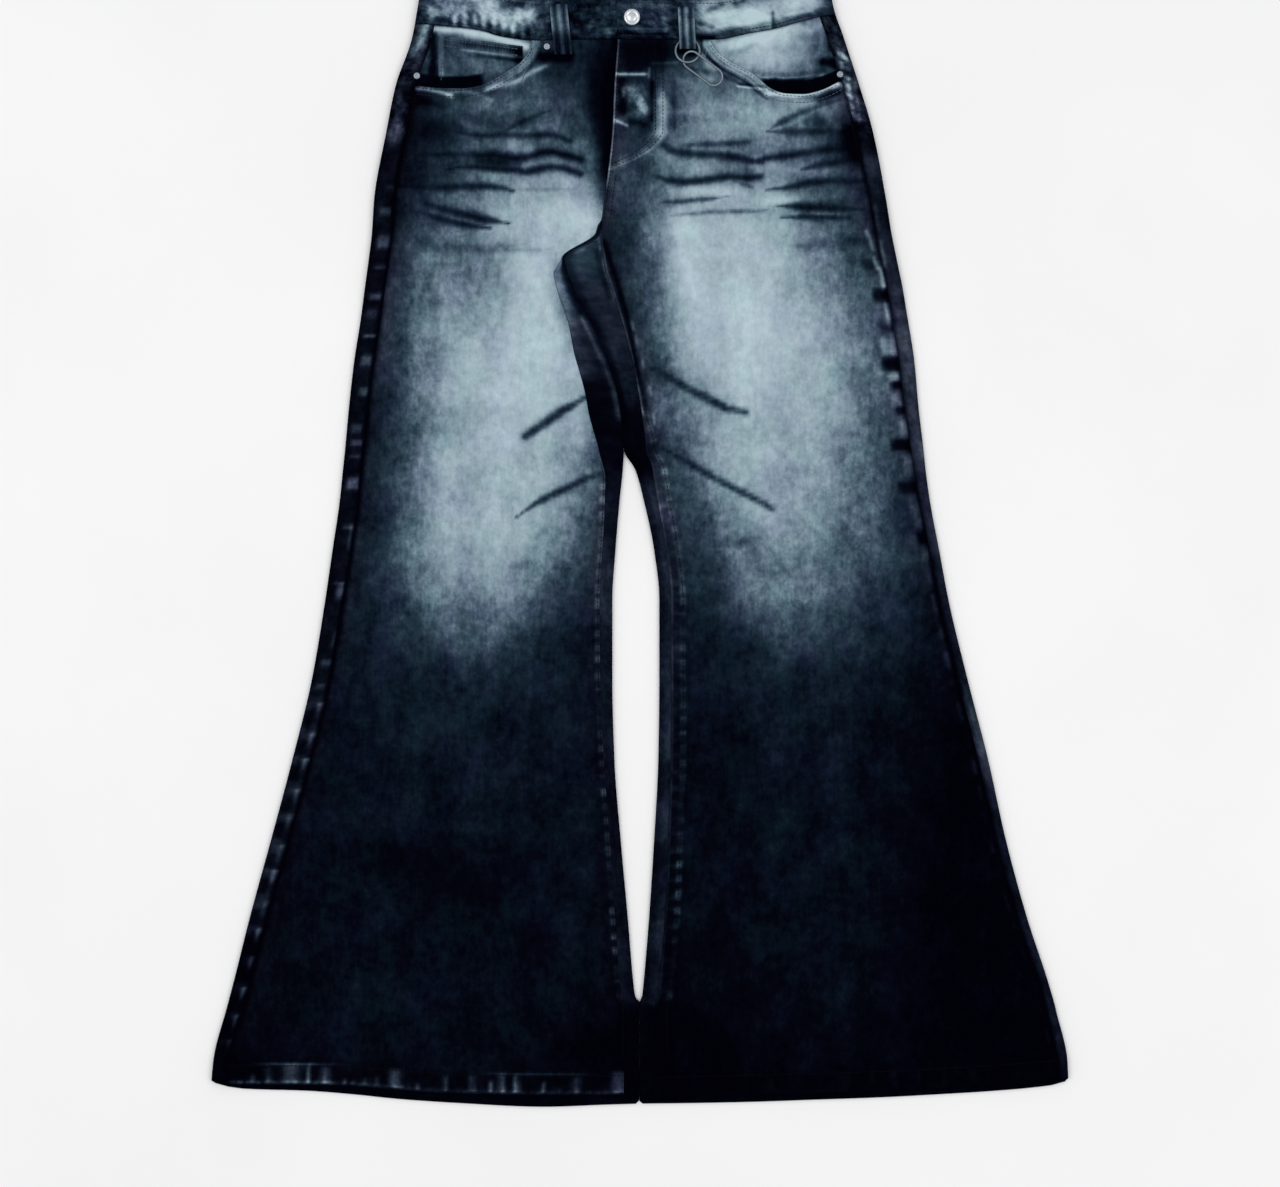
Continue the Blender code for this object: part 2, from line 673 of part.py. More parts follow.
def build():
    clear_scene()
    for side, word in ((-1, "left"), (1, "right")):
        add_front(side, f"front_panel_{word}")
        add_wrap(f"back_panel_{word}", side, back_rows)
        add_wrap(f"yoke_{word}", side, yoke_rows)
        add_facing(side, f"pocket_facing_{word}")
    band = add_waistband()
    add_buttonhole(band)
    add_patch(
        "coin_pocket", np.linspace(-193, -112, 8), lambda x: 71 + 0.11 * (x + 193),
        lambda x: float(POCKET[-1](x)) + 6, 4, lambda x, down: rim(down, 2000) + PATCH, CLOTH, DENIM,
    )
    fly = []
    for down in (69, 100, 130, 152, 163, 173, 180):
        start, end = float(IN[1](down)) + 1.0, float(FLY(down)) - 1.0
        line = [(start * (1 - t) + end * t, down, rim(down, 2000)) for t in np.linspace(0, 1, 5)]
        fly.append(line)
    fly = np.array(fly, float)
    add_wall("fly_facing", fly, fly - [0, 0, CLOTH], DENIM)
    for word, middle in (("left", -132.0), ("right", 98.0)):
        add_patch(
            f"back_pocket_{word}", middle + np.linspace(-66, 66, 9), lambda x: 138.0,
            lambda x, middle=middle: pocket_outline(middle, x), 5, lambda x, down: CLOTH, CLOTH, DENIM,
        )
    add_loop("belt_loop_front_left", -78, -73, 33.6, 81.6, 17.0, 7.75, LOOP_ARCH)
    add_loop("belt_loop_front_right", 44.5, 46.3, 36.5, 76.5, 15.4, 7.75, LOOP_RING_ARCH)
    for i, x in enumerate((-140, -18, 104)):
        first = float(BACK_WAIST(x)) - BAND_HEIGHT - GAP / 2 + 1
        add_loop(f"belt_loop_back_{i + 1}", x, x, first, first + 52, 14.0, 0.0, ((0, 0), (1, 0)), 1.0)
    cap = (
        (0, 0.0 - 2.6), (2.0, -2.6), (2.0, 0.0), (7.2, 0.0), (8.0, 0.7), (7.9, 1.5), (7.0, 2.0),
        (5.9, 1.8), (4.6, 2.3), (2.6, 2.7), (0, 2.8),
    )
    add_turned("button", BUTTON_X, BUTTON_DOWN, BAND_OVER + GAP, cap, 18)
    head = ((0, 0.0), (4.0, 0.0), (4.4, 0.5), (3.6, 1.1), (2.0, 1.5), (0, 1.6))
    for name, x, down, _ in RIVETS:
        height = BAND_TOP + GAP if name == "rivet_2" else rim(down, 2000) + GAP
        add_turned(name, x, down, height, head, 14)
    add_wire("ring", ring_path(), RING_WIRE / 2)
    add_wire("link", link_path(), RING_WIRE / 2)


build()
print("parts:", len(bpy.data.objects))
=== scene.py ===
# %% [markdown]
# # Flared jeans, laid flat
#
# A pair of jeans is a set of flat denim panels, sewn edge to edge. Laid on a table, the leg is a
# flattened tube: its two folded edges are the outline, and the side seam and the inseam lie a
# little way in from them, on the upper side. This lesson builds each panel as a thin shell on the
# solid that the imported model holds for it, dyes it, and then sews it.

# %% Load the frame
import math

import bmesh
import bpy
import numpy as np
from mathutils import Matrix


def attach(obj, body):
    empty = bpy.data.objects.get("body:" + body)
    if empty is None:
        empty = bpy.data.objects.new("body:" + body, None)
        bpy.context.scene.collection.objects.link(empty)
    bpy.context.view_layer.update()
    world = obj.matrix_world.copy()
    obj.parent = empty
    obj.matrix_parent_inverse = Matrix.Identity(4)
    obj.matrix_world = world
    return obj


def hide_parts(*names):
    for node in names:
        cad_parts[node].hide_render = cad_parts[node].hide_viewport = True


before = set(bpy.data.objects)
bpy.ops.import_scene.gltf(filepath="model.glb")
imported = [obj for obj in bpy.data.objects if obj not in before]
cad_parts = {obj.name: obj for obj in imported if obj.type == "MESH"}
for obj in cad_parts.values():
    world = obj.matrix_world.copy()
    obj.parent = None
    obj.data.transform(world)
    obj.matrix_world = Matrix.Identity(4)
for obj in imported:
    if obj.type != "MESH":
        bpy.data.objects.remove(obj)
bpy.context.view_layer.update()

# %% [markdown]
# ## Sizes
#
# All sizes are in millimetres, in the way a pattern cutter writes them: x runs across the garment
# and down runs from the top of the back waistband to the hems. Nearly all are the sizes that the
# solids were cut to. The pocket edges, the top of the coin pocket, the crotch seam and the end of
# the gap between the legs lie a few millimetres off the solids, where the garment has them.

# %% Sizes
ORIGIN_DOWN = 545.0      # the origin lies this far below the top
CLOTH = 1.0              # thickness of one layer of denim
GAP = 0.3                # between the solids of neighbouring panels
SEAM = 0.12              # the shells meet closer than the solids do
FLAT = 4.6               # height of a leg that lies flat
HIP_LIFT = 1.3           # the back of the hip lies on its pockets, this high
HEM_HEIGHT = 21.0
HEM_CLOTH = 2.2
HEM_EXTRA = 1.4          # a hem lies this much higher than the leg above it
BAND_HEIGHT = 38.0
BAND_CLOTH = 2.0
BAND_GAP = 0.2           # between the waistband and the panels
BAND_TOP = 7.4           # the waistband's outer face in front,
BAND_UNDER = 6.6         # where it goes under its own end,
BAND_OVER = 8.9          # and where that end laps over it
PATCH = 1.3              # rise over a piece of cloth that lies underneath
POCKET_UNDER = 8.0       # how far a facing goes in under the front
LEGS_PART = 461          # down to here the legs touch along one line
NO_HEM = 2000.0          # as the place of a hem: there is none near
SIDES = ((-1, "left"), (1, "right"))

print("one layer of denim: %.1f mm; a leg that lies flat: %.1f mm" % (CLOTH, FLAT))

# %% Outline of the legs
# down; then x of the left outer, left inner, right inner and right outer edge of the legs.
LEG_SECTIONS = (
    (0, -208, -20, -20, 182), (29, -212, -20, -20, 185), (67, -219, -21, -21, 197),
    (110, -234, -24, -24, 211), (154, -243, -26, -26, 224), (221, -255, -34, -34, 237),
    (252, -257, -39, -39, 242), (277, -260, -72, -72, 247), (306, -264, -63, -63, 253),
    (336, -268, -48, -48, 258), (374, -274, -31, -31, 264), (418, -279, -19, -19, 268),
    (461, -283, -15, -15, 273), (480, -285, -16, -4, 275), (509, -288, -19, 4, 279),
    (557, -295, -23, 14, 288), (605, -302, -26, 19, 297), (682, -315, -26, 19, 315.5),
    (758, -333.5, -24, 18, 335), (835, -354, -18, 14, 352), (912, -375, -11, 9, 373),
    (968, -389, -6.3, 4.3, 391.5), (981, -392.4, -4.8, 3.0, 395.4), (987, -394, -3.6, 2.2, 397.2),
    (991, -395, -0.2, -0.2, 398.3), (1000, -397.5, -0.2, -0.2, 400.5), (1046, -409.3, -0.2, -0.2, 411),
    (1092, -413, -0.2, -0.2, 413),
)
# down; then how far in from those edges the left side seam, the two inseams and the right side
# seam lie.
SEAM_SECTIONS = (
    (0, 19.0, 0.0, 0.0, 16.5), (239, 20.0, 0.0, 0.0, 16.0), (246, 20.0, 2.9, 2.9, 16.0),
    (252, 20.0, 2.9, 2.9, 16.0), (277, 20.0, 2.9, 37.5, 15.5), (292, 19.7, 13.8, 37.2, 15.2),
    (306, 19.5, 16.2, 36.5, 15.0), (336, 19.5, 21.0, 31.0, 15.0), (374, 19.5, 30.0, 24.0, 14.5),
    (418, 19.0, 31.0, 20.0, 13.5), (461, 19.0, 24.0, 21.0, 12.0), (488, 19.0, 16.0, 15.0, 11.0),
    (552, 19.0, 12.5, 11.5, 9.6), (640, 18.0, 12.0, 11.2, 9.6), (797, 17.0, 10.0, 12.5, 9.6),
    (902, 16.0, 12.0, 15.0, 9.6), (1090, 16.0, 15.0, 15.0, 9.6),
)
print("rows of leg sections:", len(LEG_SECTIONS))

# %% Seams, pocket edges and hems
# The seams, pocket edges and hems are points (x, down).
FRONT_WAIST_SEAM = (
    (-215, 51), (-198, 53), (-155, 57.6), (-132, 64), (-98, 68), (-40, 66.5), (20, 67), (72, 67),
    (107, 60.5), (129, 56.6), (153, 50), (174, 45), (190, 43),
)
BACK_WAIST_SEAM = ((-215, 51), (-120, 42), (-18, 38), (90, 40), (190, 43))
YOKE_SEAM = ((-240, 92), (-215, 93), (-20, 118), (178, 88), (220, 86))
POCKET_LEFT = (
    (-213, 111.6), (-191.5, 113.9), (-172, 114.2), (-153, 111.6), (-139, 104.8), (-126, 97), (-115, 90),
    (-107, 79.7), (-104, 71),
)
POCKET_RIGHT = (
    (69.6, 71), (74.4, 78.6), (84, 86.2), (95.5, 92.6), (107, 98.6), (116, 105.8), (125, 113.4),
    (139.7, 118.8), (157, 119.6), (174, 115.8), (191, 107.8),
)
FRONT_HEM_LEFT = (
    (-413, 1065), (-400, 1069.5), (-300, 1070.5), (-186, 1078), (-89, 1080), (0, 1080),
)
BACK_HEM_LEFT = (
    (-413, 1067), (-400, 1071.5), (-379, 1074.5), (-321, 1076.3), (-292, 1078.3), (-263, 1081),
    (-235, 1084), (-177, 1088), (-91, 1091.8), (-33, 1089.8), (0, 1088.8),
)
FRONT_HEM_RIGHT = ((0, 1082), (225, 1076), (385, 1066.5), (404, 1064.5), (413, 1062))
BACK_HEM_RIGHT = (
    (0, 1088.8), (53, 1088.2), (111, 1087), (168, 1085), (226, 1083), (284, 1080), (341, 1076.5),
    (385, 1072.5), (404, 1069.5), (413, 1065.5),
)
# The curved edge of the fly, as points (down, x).
FLY_EDGE = ((60, 24), (154, 24), (168, 15), (181, -4), (190, -26))
print("points along the pocket openings:", len(POCKET_LEFT), len(POCKET_RIGHT))

# %% [markdown]
# ## Curves through the tables
#
# A pattern line is a few measured points joined by a smooth curve. A monotone cubic never swings
# past its points, so a seam drawn with it stays where it was measured.

# %% A curve through points


def smooth_curve(points):
    """Monotone cubic through (at, value) points; it holds its end values beyond both ends."""
    at = np.array([p[0] for p in points], float)
    value = np.array([p[1] for p in points], float)
    step = np.diff(at)
    slope = np.diff(value) / step
    tangent = np.zeros(len(at))
    for i in range(1, len(at) - 1):
        if slope[i - 1] * slope[i] > 0:
            w1 = 2 * step[i] + step[i - 1]
            w2 = step[i] + 2 * step[i - 1]
            tangent[i] = (w1 + w2) / (w1 / slope[i - 1] + w2 / slope[i])
    tangent[0], tangent[-1] = slope[0], slope[-1]

    def curve(where):
        where = np.clip(np.asarray(where, float), at[0], at[-1])
        i = np.clip(np.searchsorted(at, where, side="right") - 1, 0, len(step) - 1)
        t = (where - at[i]) / step[i]
        return (
            value[i] * (1 + 2 * t) * (1 - t) ** 2
            + tangent[i] * step[i] * t * (1 - t) ** 2
            + value[i + 1] * t * t * (3 - 2 * t)
            - tangent[i + 1] * step[i] * t * t * (1 - t)
        )

    return curve


def column(table, index):
    """Smooth curve through one column of a table, by its first column."""
    return smooth_curve([(row[0], row[index]) for row in table])


print("half way from 0 to 1: %.2f" % smooth_curve(((0, 0), (1, 1)))(0.5))

# %% Edges and seams as curves
IN_LEFT, IN_RIGHT = column(LEG_SECTIONS, 2), column(LEG_SECTIONS, 3)


def inner_edge(down):
    """Right inner edge: the legs touch along one line down to where they part."""
    return np.where(np.asarray(down) < LEGS_PART, IN_LEFT(down), IN_RIGHT(down))


OUT = {-1: column(LEG_SECTIONS, 1), 1: column(LEG_SECTIONS, 4)}
IN = {-1: IN_LEFT, 1: inner_edge}
SIDE = {-1: column(SEAM_SECTIONS, 1), 1: column(SEAM_SECTIONS, 4)}
INSEAM = {-1: column(SEAM_SECTIONS, 2), 1: column(SEAM_SECTIONS, 3)}
FRONT_WAIST, BACK_WAIST = smooth_curve(FRONT_WAIST_SEAM), smooth_curve(BACK_WAIST_SEAM)
YOKE = smooth_curve(YOKE_SEAM)
POCKET = {-1: smooth_curve(POCKET_LEFT), 1: smooth_curve(POCKET_RIGHT)}
POCKET_LINE = {-1: POCKET_LEFT, 1: POCKET_RIGHT}
POCKET_START = {-1: POCKET_LEFT[-1][0], 1: POCKET_RIGHT[0][0]}
FRONT_HEM = {-1: smooth_curve(FRONT_HEM_LEFT), 1: smooth_curve(FRONT_HEM_RIGHT)}
BACK_HEM = {-1: smooth_curve(BACK_HEM_LEFT), 1: smooth_curve(BACK_HEM_RIGHT)}
FLY, FLY_END = smooth_curve(FLY_EDGE), 189.9
print("hip width at the pockets: %.0f mm" % (OUT[1](110) - OUT[-1](110)))

# %% [markdown]
# ## Soft steps, bells and distances
#
# Wear, creases and hems have no hard borders: each comes in and dies away over some millimetres.
# So nearly every effect below is a soft step or a bell of a distance: across a seam, along a leg,
# or from a line that is drawn on the cloth.

# %% Soft steps


def ease(value):
    """Soft step: 0 up to 0, 1 from 1 on."""
    value = np.clip(value, 0.0, 1.0)
    return value * value * (3 - 2 * value)


def grow(value, start, length):
    """Soft step from 0 to 1 that starts at start; with a negative length it goes the other way."""
    return ease((value - start) / length)


def wane(value, start, length):
    """Soft step from 1 to 0."""
    return 1 - grow(value, start, length)


def bell(distance, width):
    """1 at no distance, and dying away on both sides."""
    return np.exp(-((distance / width) ** 2))


def plateau(distance, width):
    """Like a bell, with a flat top."""
    return np.exp(-((distance / width) ** 4))


def oval(across, half_width, along, half_height):
    return np.exp(-((across / half_width) ** 2 + (along / half_height) ** 2))


def spots(x, down, table):
    """Sum of soft ovals: x, down, half width, half height, amount."""
    return sum(
        amount * oval(x - at_x, wide, down - at_down, tall) for at_x, at_down, wide, tall, amount in table
    )


def below_crotch(down):
    return grow(down, 239, 7)


def legs_apart(down):
    """1 where the legs stand apart, and 0 near the hems, where they touch."""
    return wane(down, 986, 14)


print("a soft step at its middle: %.2f" % grow(5, 0, 10))

# %% Distances


def pairs(numbers):
    """(x, down) of each point of a path that is given number by number."""
    return list(zip(numbers[::2], numbers[1::2]))


def to_segment(x, down, ax, ad, bx, bd):
    """(distance, share along) of points from a segment."""
    ux, ud = bx - ax, bd - ad
    share = np.clip(((x - ax) * ux + (down - ad) * ud) / (ux * ux + ud * ud), 0.0, 1.0)
    return np.hypot(x - ax - share * ux, down - ad - share * ud), share


def to_line(x, down, line):
    """Distance of points from a line of straight segments."""
    return np.minimum.reduce([to_segment(x, down, *a, *b)[0] for a, b in zip(line, line[1:])])


print("from a point to a line: %.1f mm" % to_line(0, 3, ((-5, 0), (5, 0))))

# %% [markdown]
# ## Folds and creases
#
# Worn jeans carry whiskers at the hip and honeycomb lines beside the knee. Each is a crease, so it
# is a soft trough in the cloth as well as a darker line: dye that stays unwashed in the fold, and
# painted shade, as the trough is too shallow to throw its own. One table holds both: the path of the
# crease, how wide it is, how much darker it is dyed and shaded, and how deep the cloth dips.

# %% Tables of folds and creases
# Wide soft waves: x and down of both ends, half width, height.
FOLDS = (
    (-215, 168, -112, 160, 16, -0.6), (-200, 184, -90, 182, 16, 0.5), (-205, 206, -120, 210, 18, -0.5),
    (-212, 236, -125, 245, 20, -0.5), (190, 152, 124, 156, 16, -0.6), (205, 172, 50, 172, 18, 0.5),
    (205, 196, 120, 208, 18, -0.5), (206, 232, 120, 238, 20, -0.4), (-45, 405, -110, 448, 24, 0.8),
    (-40, 485, -118, 524, 24, -0.6), (14, 382, 104, 426, 24, 0.7), (24, 462, 126, 516, 24, -0.6),
    (-190, 700, -150, 900, 40, 0.6), (180, 690, 220, 900, 40, 0.6),
)
# Half width, how dark, how deep, size at the start and at the end; then x and down of each point of
# the path.
CREASES = (
    (3.2, 0.78, 0.35, 0.3, 0.9, -178.6, 154.7, -165.4, 158, -149.9, 159.1, -129.9, 158, -112.2, 159.1,
        -85.7, 158, -76.8, 160.2, -67.9, 164.2),
    (2.4, 0.5, 0.2, 0.8, 0.1, -133.3, 156.9, -121.1, 150.3, -107.8, 143.6, -94.5, 138.1, -81.2, 133.7),
    (4.4, 0.88, 0.35, 0.4, 0.8, -209.6, 177.9, -187.5, 176.8, -154.3, 177.5, -138.8, 177.5,
        -127.7, 179.7, -118.9, 181.3, -107.8, 180.2, -94.5, 175.1, -83.4, 174.4, -70.2, 177.9,
        -55.8, 182.4),
    (8.0, 0.6, 0.3, 0.4, 0.4, -154, 183.4, -114, 184.6),
    (3.6, 0.84, 0.3, 0.3, 0.9, -185.3, 192.3, -174.2, 189.7, -156.5, 189.4, -138.8, 191.2,
        -116.7, 192.3, -110, 194.5, -98.9, 191.7, -85.7, 189, -72.4, 190.3, -63.5, 193.4, -56.9, 196.1),
    (3.8, 0.84, 0.3, 0.4, 0.4, -234, 207.2, -209.6, 208.5, -187.5, 208.5, -165.4, 208, -143.2, 208,
        -132.1, 208.9, -121.1, 212.5),
    (1.9, 0.16, 0.1, 0.5, 0.5, -121.1, 211.1, -65.7, 210.7),
    (4.8, 0.94, 0.3, 0.6, 0.3, -204.1, 224.4, -187.5, 230, -169.8, 234.4, -154.3, 238.2, -138.8, 241,
        -125.5, 243.5),
    (3.7, 0.88, 0.25, 0.4, 0.4, -211.9, 232.2, -196.4, 237.7, -178.6, 242.1, -160.9, 245.5,
        -143.2, 247.9),
    (5.0, 0.26, 0.2, 0.7, 0.3, -216.3, 263.8, -203, 266.5, -176.4, 266.9, -154.3, 268.7, -129.9, 266.9,
        -112.2, 269.2, -79, 270.9),
    (6.2, 0.34, 0.1, 0.6, 0.6, -211.9, 261, -204.1, 263.2),
    (3.5, 0.62, 0.3, 0.2, 0.6, 122.4, 155.1, 134.9, 146.9, 154.1, 137.3, 173.3, 130.6, 192.5, 124.8),
    (4.2, 0.66, 0.35, 0.3, 0.8, 122.4, 155.1, 144.5, 155.5, 190.6, 154.6, 202.1, 155.5),
    (11.2, 0.46, 0.1, 0.5, 0.9, 160, 147, 194, 141.1),
    (3.0, 0.52, 0.25, 0.3, 0.5, 35.1, 168.6, 56, 168.2, 78.9, 167.2, 95.6, 166.1, 106.1, 165.1),
    (5.4, 0.3, 0.1, 0.5, 0.5, 87.3, 166.5, 106.1, 165.7),
    (4.0, 0.8, 0.35, 0.8, 0.6, 23, 169.3, 28.9, 173.6, 41.4, 175.5, 56, 177, 76.9, 177.6, 91.5, 179.7,
        108.2, 183.9, 117.6, 184.5),
    (4.0, 0.84, 0.35, 0.5, 0.9, 112.3, 183.2, 124.9, 180.7, 141.6, 178.6, 160.3, 175.5, 181.2, 172.4,
        204.2, 170.7),
    (3.6, 0.8, 0.25, 0.3, 0.7, 156.2, 191.2, 170.8, 188, 187.5, 184.9, 204.2, 182.4),
    (3.8, 0.82, 0.35, 0.6, 0.9, 17.4, 198.5, 26.8, 202, 41.4, 203.3, 56, 202.6, 74.8, 199.9,
        87.3, 198.5, 104, 199.9, 116.5, 198.5),
    (3.2, 0.4, 0.15, 0.4, 0.6, 93.6, 203.7, 108.2, 208.3),
    (3.8, 0.84, 0.3, 0.3, 0.7, 121.7, 211.2, 139.5, 209.5, 160.3, 204.7, 181.2, 202.6, 202.1, 202.6,
        222.9, 202.6),
    (2.7, 0.58, 0.25, 0.5, 0.2, 21.6, 222.5, 35.1, 222.9, 49.7, 221.4, 66.4, 220, 85.2, 217.5),
    (2.4, 0.34, 0.2, 0.4, 0.4, 29.9, 235.6, 45.6, 234.6, 66.4, 232.5, 87.3, 231.9, 108.2, 231.9,
        123.8, 230.8),
    (4.2, 0.86, 0.3, 0.2, 0.3, 130.1, 226, 145.7, 227.1, 160.3, 227.9, 181.2, 228.7, 193.7, 229.4,
        215.6, 230),
    (3.0, 0.74, 0.25, 0.4, 0.7, 136.3, 237.5, 160.3, 237.1, 181.2, 237.5, 201, 238.3),
    (5.5, 0.34, 0.3, 0.3, 0.7, 143.6, 267.3, 160.3, 266.3, 181.2, 263.2, 202.1, 261.1, 216.7, 259.6),
    (4.2, 0.8, 0.45, 0.9, 0.6, -110.3, 447.8, -102.6, 443, -85.8, 431.4, -71.4, 421.8, -50.9, 410),
    (3.5, 0.74, 0.45, 0.3, 0.6, -119, 526, -102.6, 514, -85.8, 504.3, -69, 497.1, -52.1, 488.7,
        -35.3, 482.2),
    (3.8, 0.74, 0.45, 0.5, 0.9, 10.4, 382.1, 20.1, 385.5, 34.5, 394.9, 51.3, 404.5, 68.2, 412.9,
        82.6, 420.6, 101.9, 424.5),
    (3.4, 0.72, 0.45, 0.5, 0.9, 22, 459.1, 34.5, 465.9, 51.3, 475.5, 70.6, 487, 94.7, 499.5,
        111.5, 508.2, 127.4, 516.9),
    (4.8, 0.3, 0.15, 0.4, 0.7, 73, 552, 94.7, 550.1, 115.1, 545.3),
    (4.8, 0.16, 0.15, 0.4, 0.5, -124.3, 572.9, -107.5, 571.2, -94.2, 572.2),
)

# The underside has its own, softer ones: under the seat and behind the knees.
BACK_CREASES = (
    (6.0, 0.45, 0.5, 0.3, 0.5, -238, 318, -196, 334, -148, 337, -96, 322),
    (4.5, 0.4, 0.4, 0.4, 0.3, -222, 346, -180, 354, -128, 349),
    (6.0, 0.42, 0.5, 0.5, 0.3, 228, 312, 186, 330, 132, 334, 78, 326, 44, 308),
    (4.5, 0.34, 0.4, 0.3, 0.4, 206, 350, 160, 346, 112, 356),
    (5.5, 0.5, 0.5, 0.3, 0.6, -268, 548, -222, 560, -176, 556, -120, 572),
    (5.0, 0.44, 0.4, 0.5, 0.3, -236, 590, -188, 582, -132, 598, -84, 594),
    (4.5, 0.36, 0.4, 0.4, 0.4, -258, 622, -204, 630, -150, 620),
    (5.5, 0.5, 0.5, 0.4, 0.4, 262, 556, 208, 550, 150, 566, 92, 562),
    (5.0, 0.42, 0.4, 0.3, 0.5, 232, 588, 176, 600, 118, 592, 70, 604),
    (4.5, 0.34, 0.4, 0.4, 0.3, 254, 634, 196, 624, 138, 632),
)


print("creases:", len(CREASES), "in front and", len(BACK_CREASES), "underneath")

# %% Depth and dye of a crease


def crease_field(x, down, index, creases=CREASES):
    """The strongest crease at each point, from one column: 1 for dye and painted shade, 2 for depth."""
    total = np.zeros(np.broadcast(x, down).shape)
    for crease in creases:
        half, _, _, start, end, *path = crease
        path = pairs(path)
        count = len(path) - 1
        best = np.zeros_like(total)
        for i, (a, b) in enumerate(zip(path, path[1:])):
            near, share = to_segment(x, down, *a, *b)
            along = (i + share) / count
            size = np.minimum(
                start + (1 - start) * ease(along / 0.35), end + (1 - end) * grow(along, 1, -0.35),
            )
            best = np.maximum(best, bell(near, half * size) * (0.55 + 0.45 * size))
        total = np.maximum(total, crease[index] * best)
    return total


def folds(x, down):
    """Height of the wide soft waves."""
    height = np.zeros(np.broadcast(x, down).shape)
    for ax, ad, bx, bd, width, tall in FOLDS:
        near, share = to_segment(x, down, ax, ad, bx, bd)
        height += tall * (1 - ease(near / width)) * ease(4 * share) * ease(4 - 4 * share)
    return height


print("cloth in the first fold: %.1f mm" % folds(-160.0, 164.0))

# %% [markdown]
# ## Height of the cloth
#
# The hip lies on the back pockets and belt loops, the hem is three layers thick, and a panel that
# laps over another piece rises by the thickness of that piece. These few steps give the whole
# garment its relief.

# %% Heights


def lift(down):
    """How high the underside lies off the table."""
    return HIP_LIFT * wane(down, 296, 30)


def in_hem(down, hem):
    """1 in the turned-up hem and 0 above it."""
    return ease((HEM_HEIGHT + 1.5 - (hem - down)) / 1.5)


def rim(down, hem):
    """Height of the upper face, without creases."""
    return FLAT + lift(down) + HEM_EXTRA * in_hem(down, hem)


def wall(down, hem):
    """Thickness of the cloth."""
    return CLOTH + (HEM_CLOTH - CLOTH) * in_hem(down, hem)


def pocket_near(side, x, down):
    """Distance from the pocket opening's edge."""
    line = POCKET_LINE[side]
    start = line[-1] if side < 0 else line[0]
    over = to_segment(x, down, *start, start[0], start[1] - 12)[0]
    return np.minimum(to_line(x, down, line), over)


def front_top(side, x, down):
    """Outer face of a front panel."""
    edge = np.minimum(np.abs(x - OUT[side](down)), np.abs(x - IN[side](down)) + 8)
    inside = grow(edge, 18, 20)
    top = rim(down, FRONT_HEM[side](x)) + folds(x, down) * inside
    near = pocket_near(side, x, down)
    raised = PATCH + (PATCH * grow(x, -96, -12) if side < 0 else 0)
    top = top + np.where(down < 160, raised * wane(near, 18, 16), 0)
    if side > 0:
        across = ease((FLY(np.minimum(down - 12, FLY_END)) + 22 - x) / 11)
        fly = PATCH * across * wane(down, 200, 12)
        top = np.where(down < 215, np.maximum(top, rim(down, NO_HEM) + fly), top)
    top = top - crease_field(x, down, 2) * inside
    top = top + 0.35 * bell(near - 11, 2.5) * (down < 160)
    return top + 0.1 * np.sin(x * 0.09 + down * 0.031) * np.sin(down * 0.043) * inside


print("top of the fly: %.1f mm" % front_top(1, np.float64(0.0), np.float64(100.0)))

# %% [markdown]
# ## The dye
#
# Indigo is rubbed and blasted off where the garment is worn: down the thigh to below the knee, on
# raised edges, and in the loops. Each point of the cloth gets one number, its tone: 0 is unwashed
# near-black and 1 is the palest blue-grey. The tone also carries painted shade: in the creases, beside
# the fly, in the gaping pocket openings and inside the ring. The leg fade is a table with a row per
# section: where the pale part begins and ends across the leg, and how pale it is.

# %% Fade of the legs
# down; then x where the pale part begins at the side seam, where it is full, where it stops being
# full, where it ends at the inseam; and its tone.
FADE = {
    -1: (
        (120, -214, -130, -60, -30, 0.34), (150, -214, -125, -60, -26, 0.42),
        (185, -218, -118, -58, -20, 0.6), (219, -230, -116, -48, -14, 0.77),
        (253, -248, -118, -49, -18, 0.85), (288, -258, -122, -88, -58, 0.88),
        (323, -262, -138, -86, -54, 0.9), (357, -262, -156, -74, -42, 0.9),
        (392, -258, -172, -62, -32, 0.89), (426, -258, -180, -60, -28, 0.88),
        (461, -260, -186, -62, -22, 0.87), (495, -262, -188, -88, -14, 0.83),
        (530, -264, -185, -98, -12, 0.81), (564, -268, -182, -120, -18, 0.75),
        (599, -272, -182, -130, -38, 0.63), (634, -274, -178, -128, -50, 0.45),
        (668, -278, -172, -149, -60, 0.29), (703, -284, -192, -163, -57, 0.22),
        (737, -292, -192, -153, -48, 0.18), (900, -340, -200, -150, -48, 0.12),
        (1092, -380, -200, -150, -48, 0.08),
    ),
    1: (
        (120, 216, 136, 60, 20, 0.54), (150, 216, 132, 56, 4, 0.62), (185, 222, 120, 52, -12, 0.64),
        (219, 232, 116, 46, -26, 0.77), (253, 240, 122, 41, -22, 0.82), (288, 250, 136, 48, -22, 0.88),
        (323, 258, 150, 56, -20, 0.92), (357, 266, 166, 66, -20, 0.91), (392, 270, 176, 74, -18, 0.87),
        (426, 274, 182, 80, -16, 0.83), (461, 278, 178, 84, -8, 0.82), (495, 280, 176, 94, 4, 0.78),
        (530, 282, 174, 104, 14, 0.71), (564, 286, 170, 110, 24, 0.63), (599, 290, 166, 114, 34, 0.51),
        (634, 292, 166, 118, 44, 0.37), (668, 294, 172, 125, 50, 0.25), (703, 298, 183, 125, 50, 0.19),
        (760, 310, 183, 125, 44, 0.15), (900, 350, 190, 130, 44, 0.12), (1092, 380, 190, 130, 44, 0.04),
    ),
}
print("fade rows:", len(FADE[-1]), len(FADE[1]))

# %% Tone outside the fade, and soft patches
# Tone outside the fade, by down.
BASE_TONE = {
    -1: smooth_curve((
        (0, 0.22), (150, 0.2), (300, 0.24), (560, 0.22), (640, 0.18), (720, 0.14), (1090, 0.06),
    )),
    1: smooth_curve((
        (0, 0.26), (150, 0.24), (300, 0.24), (560, 0.2), (640, 0.14), (760, 0.06), (1090, 0),
    )),
}

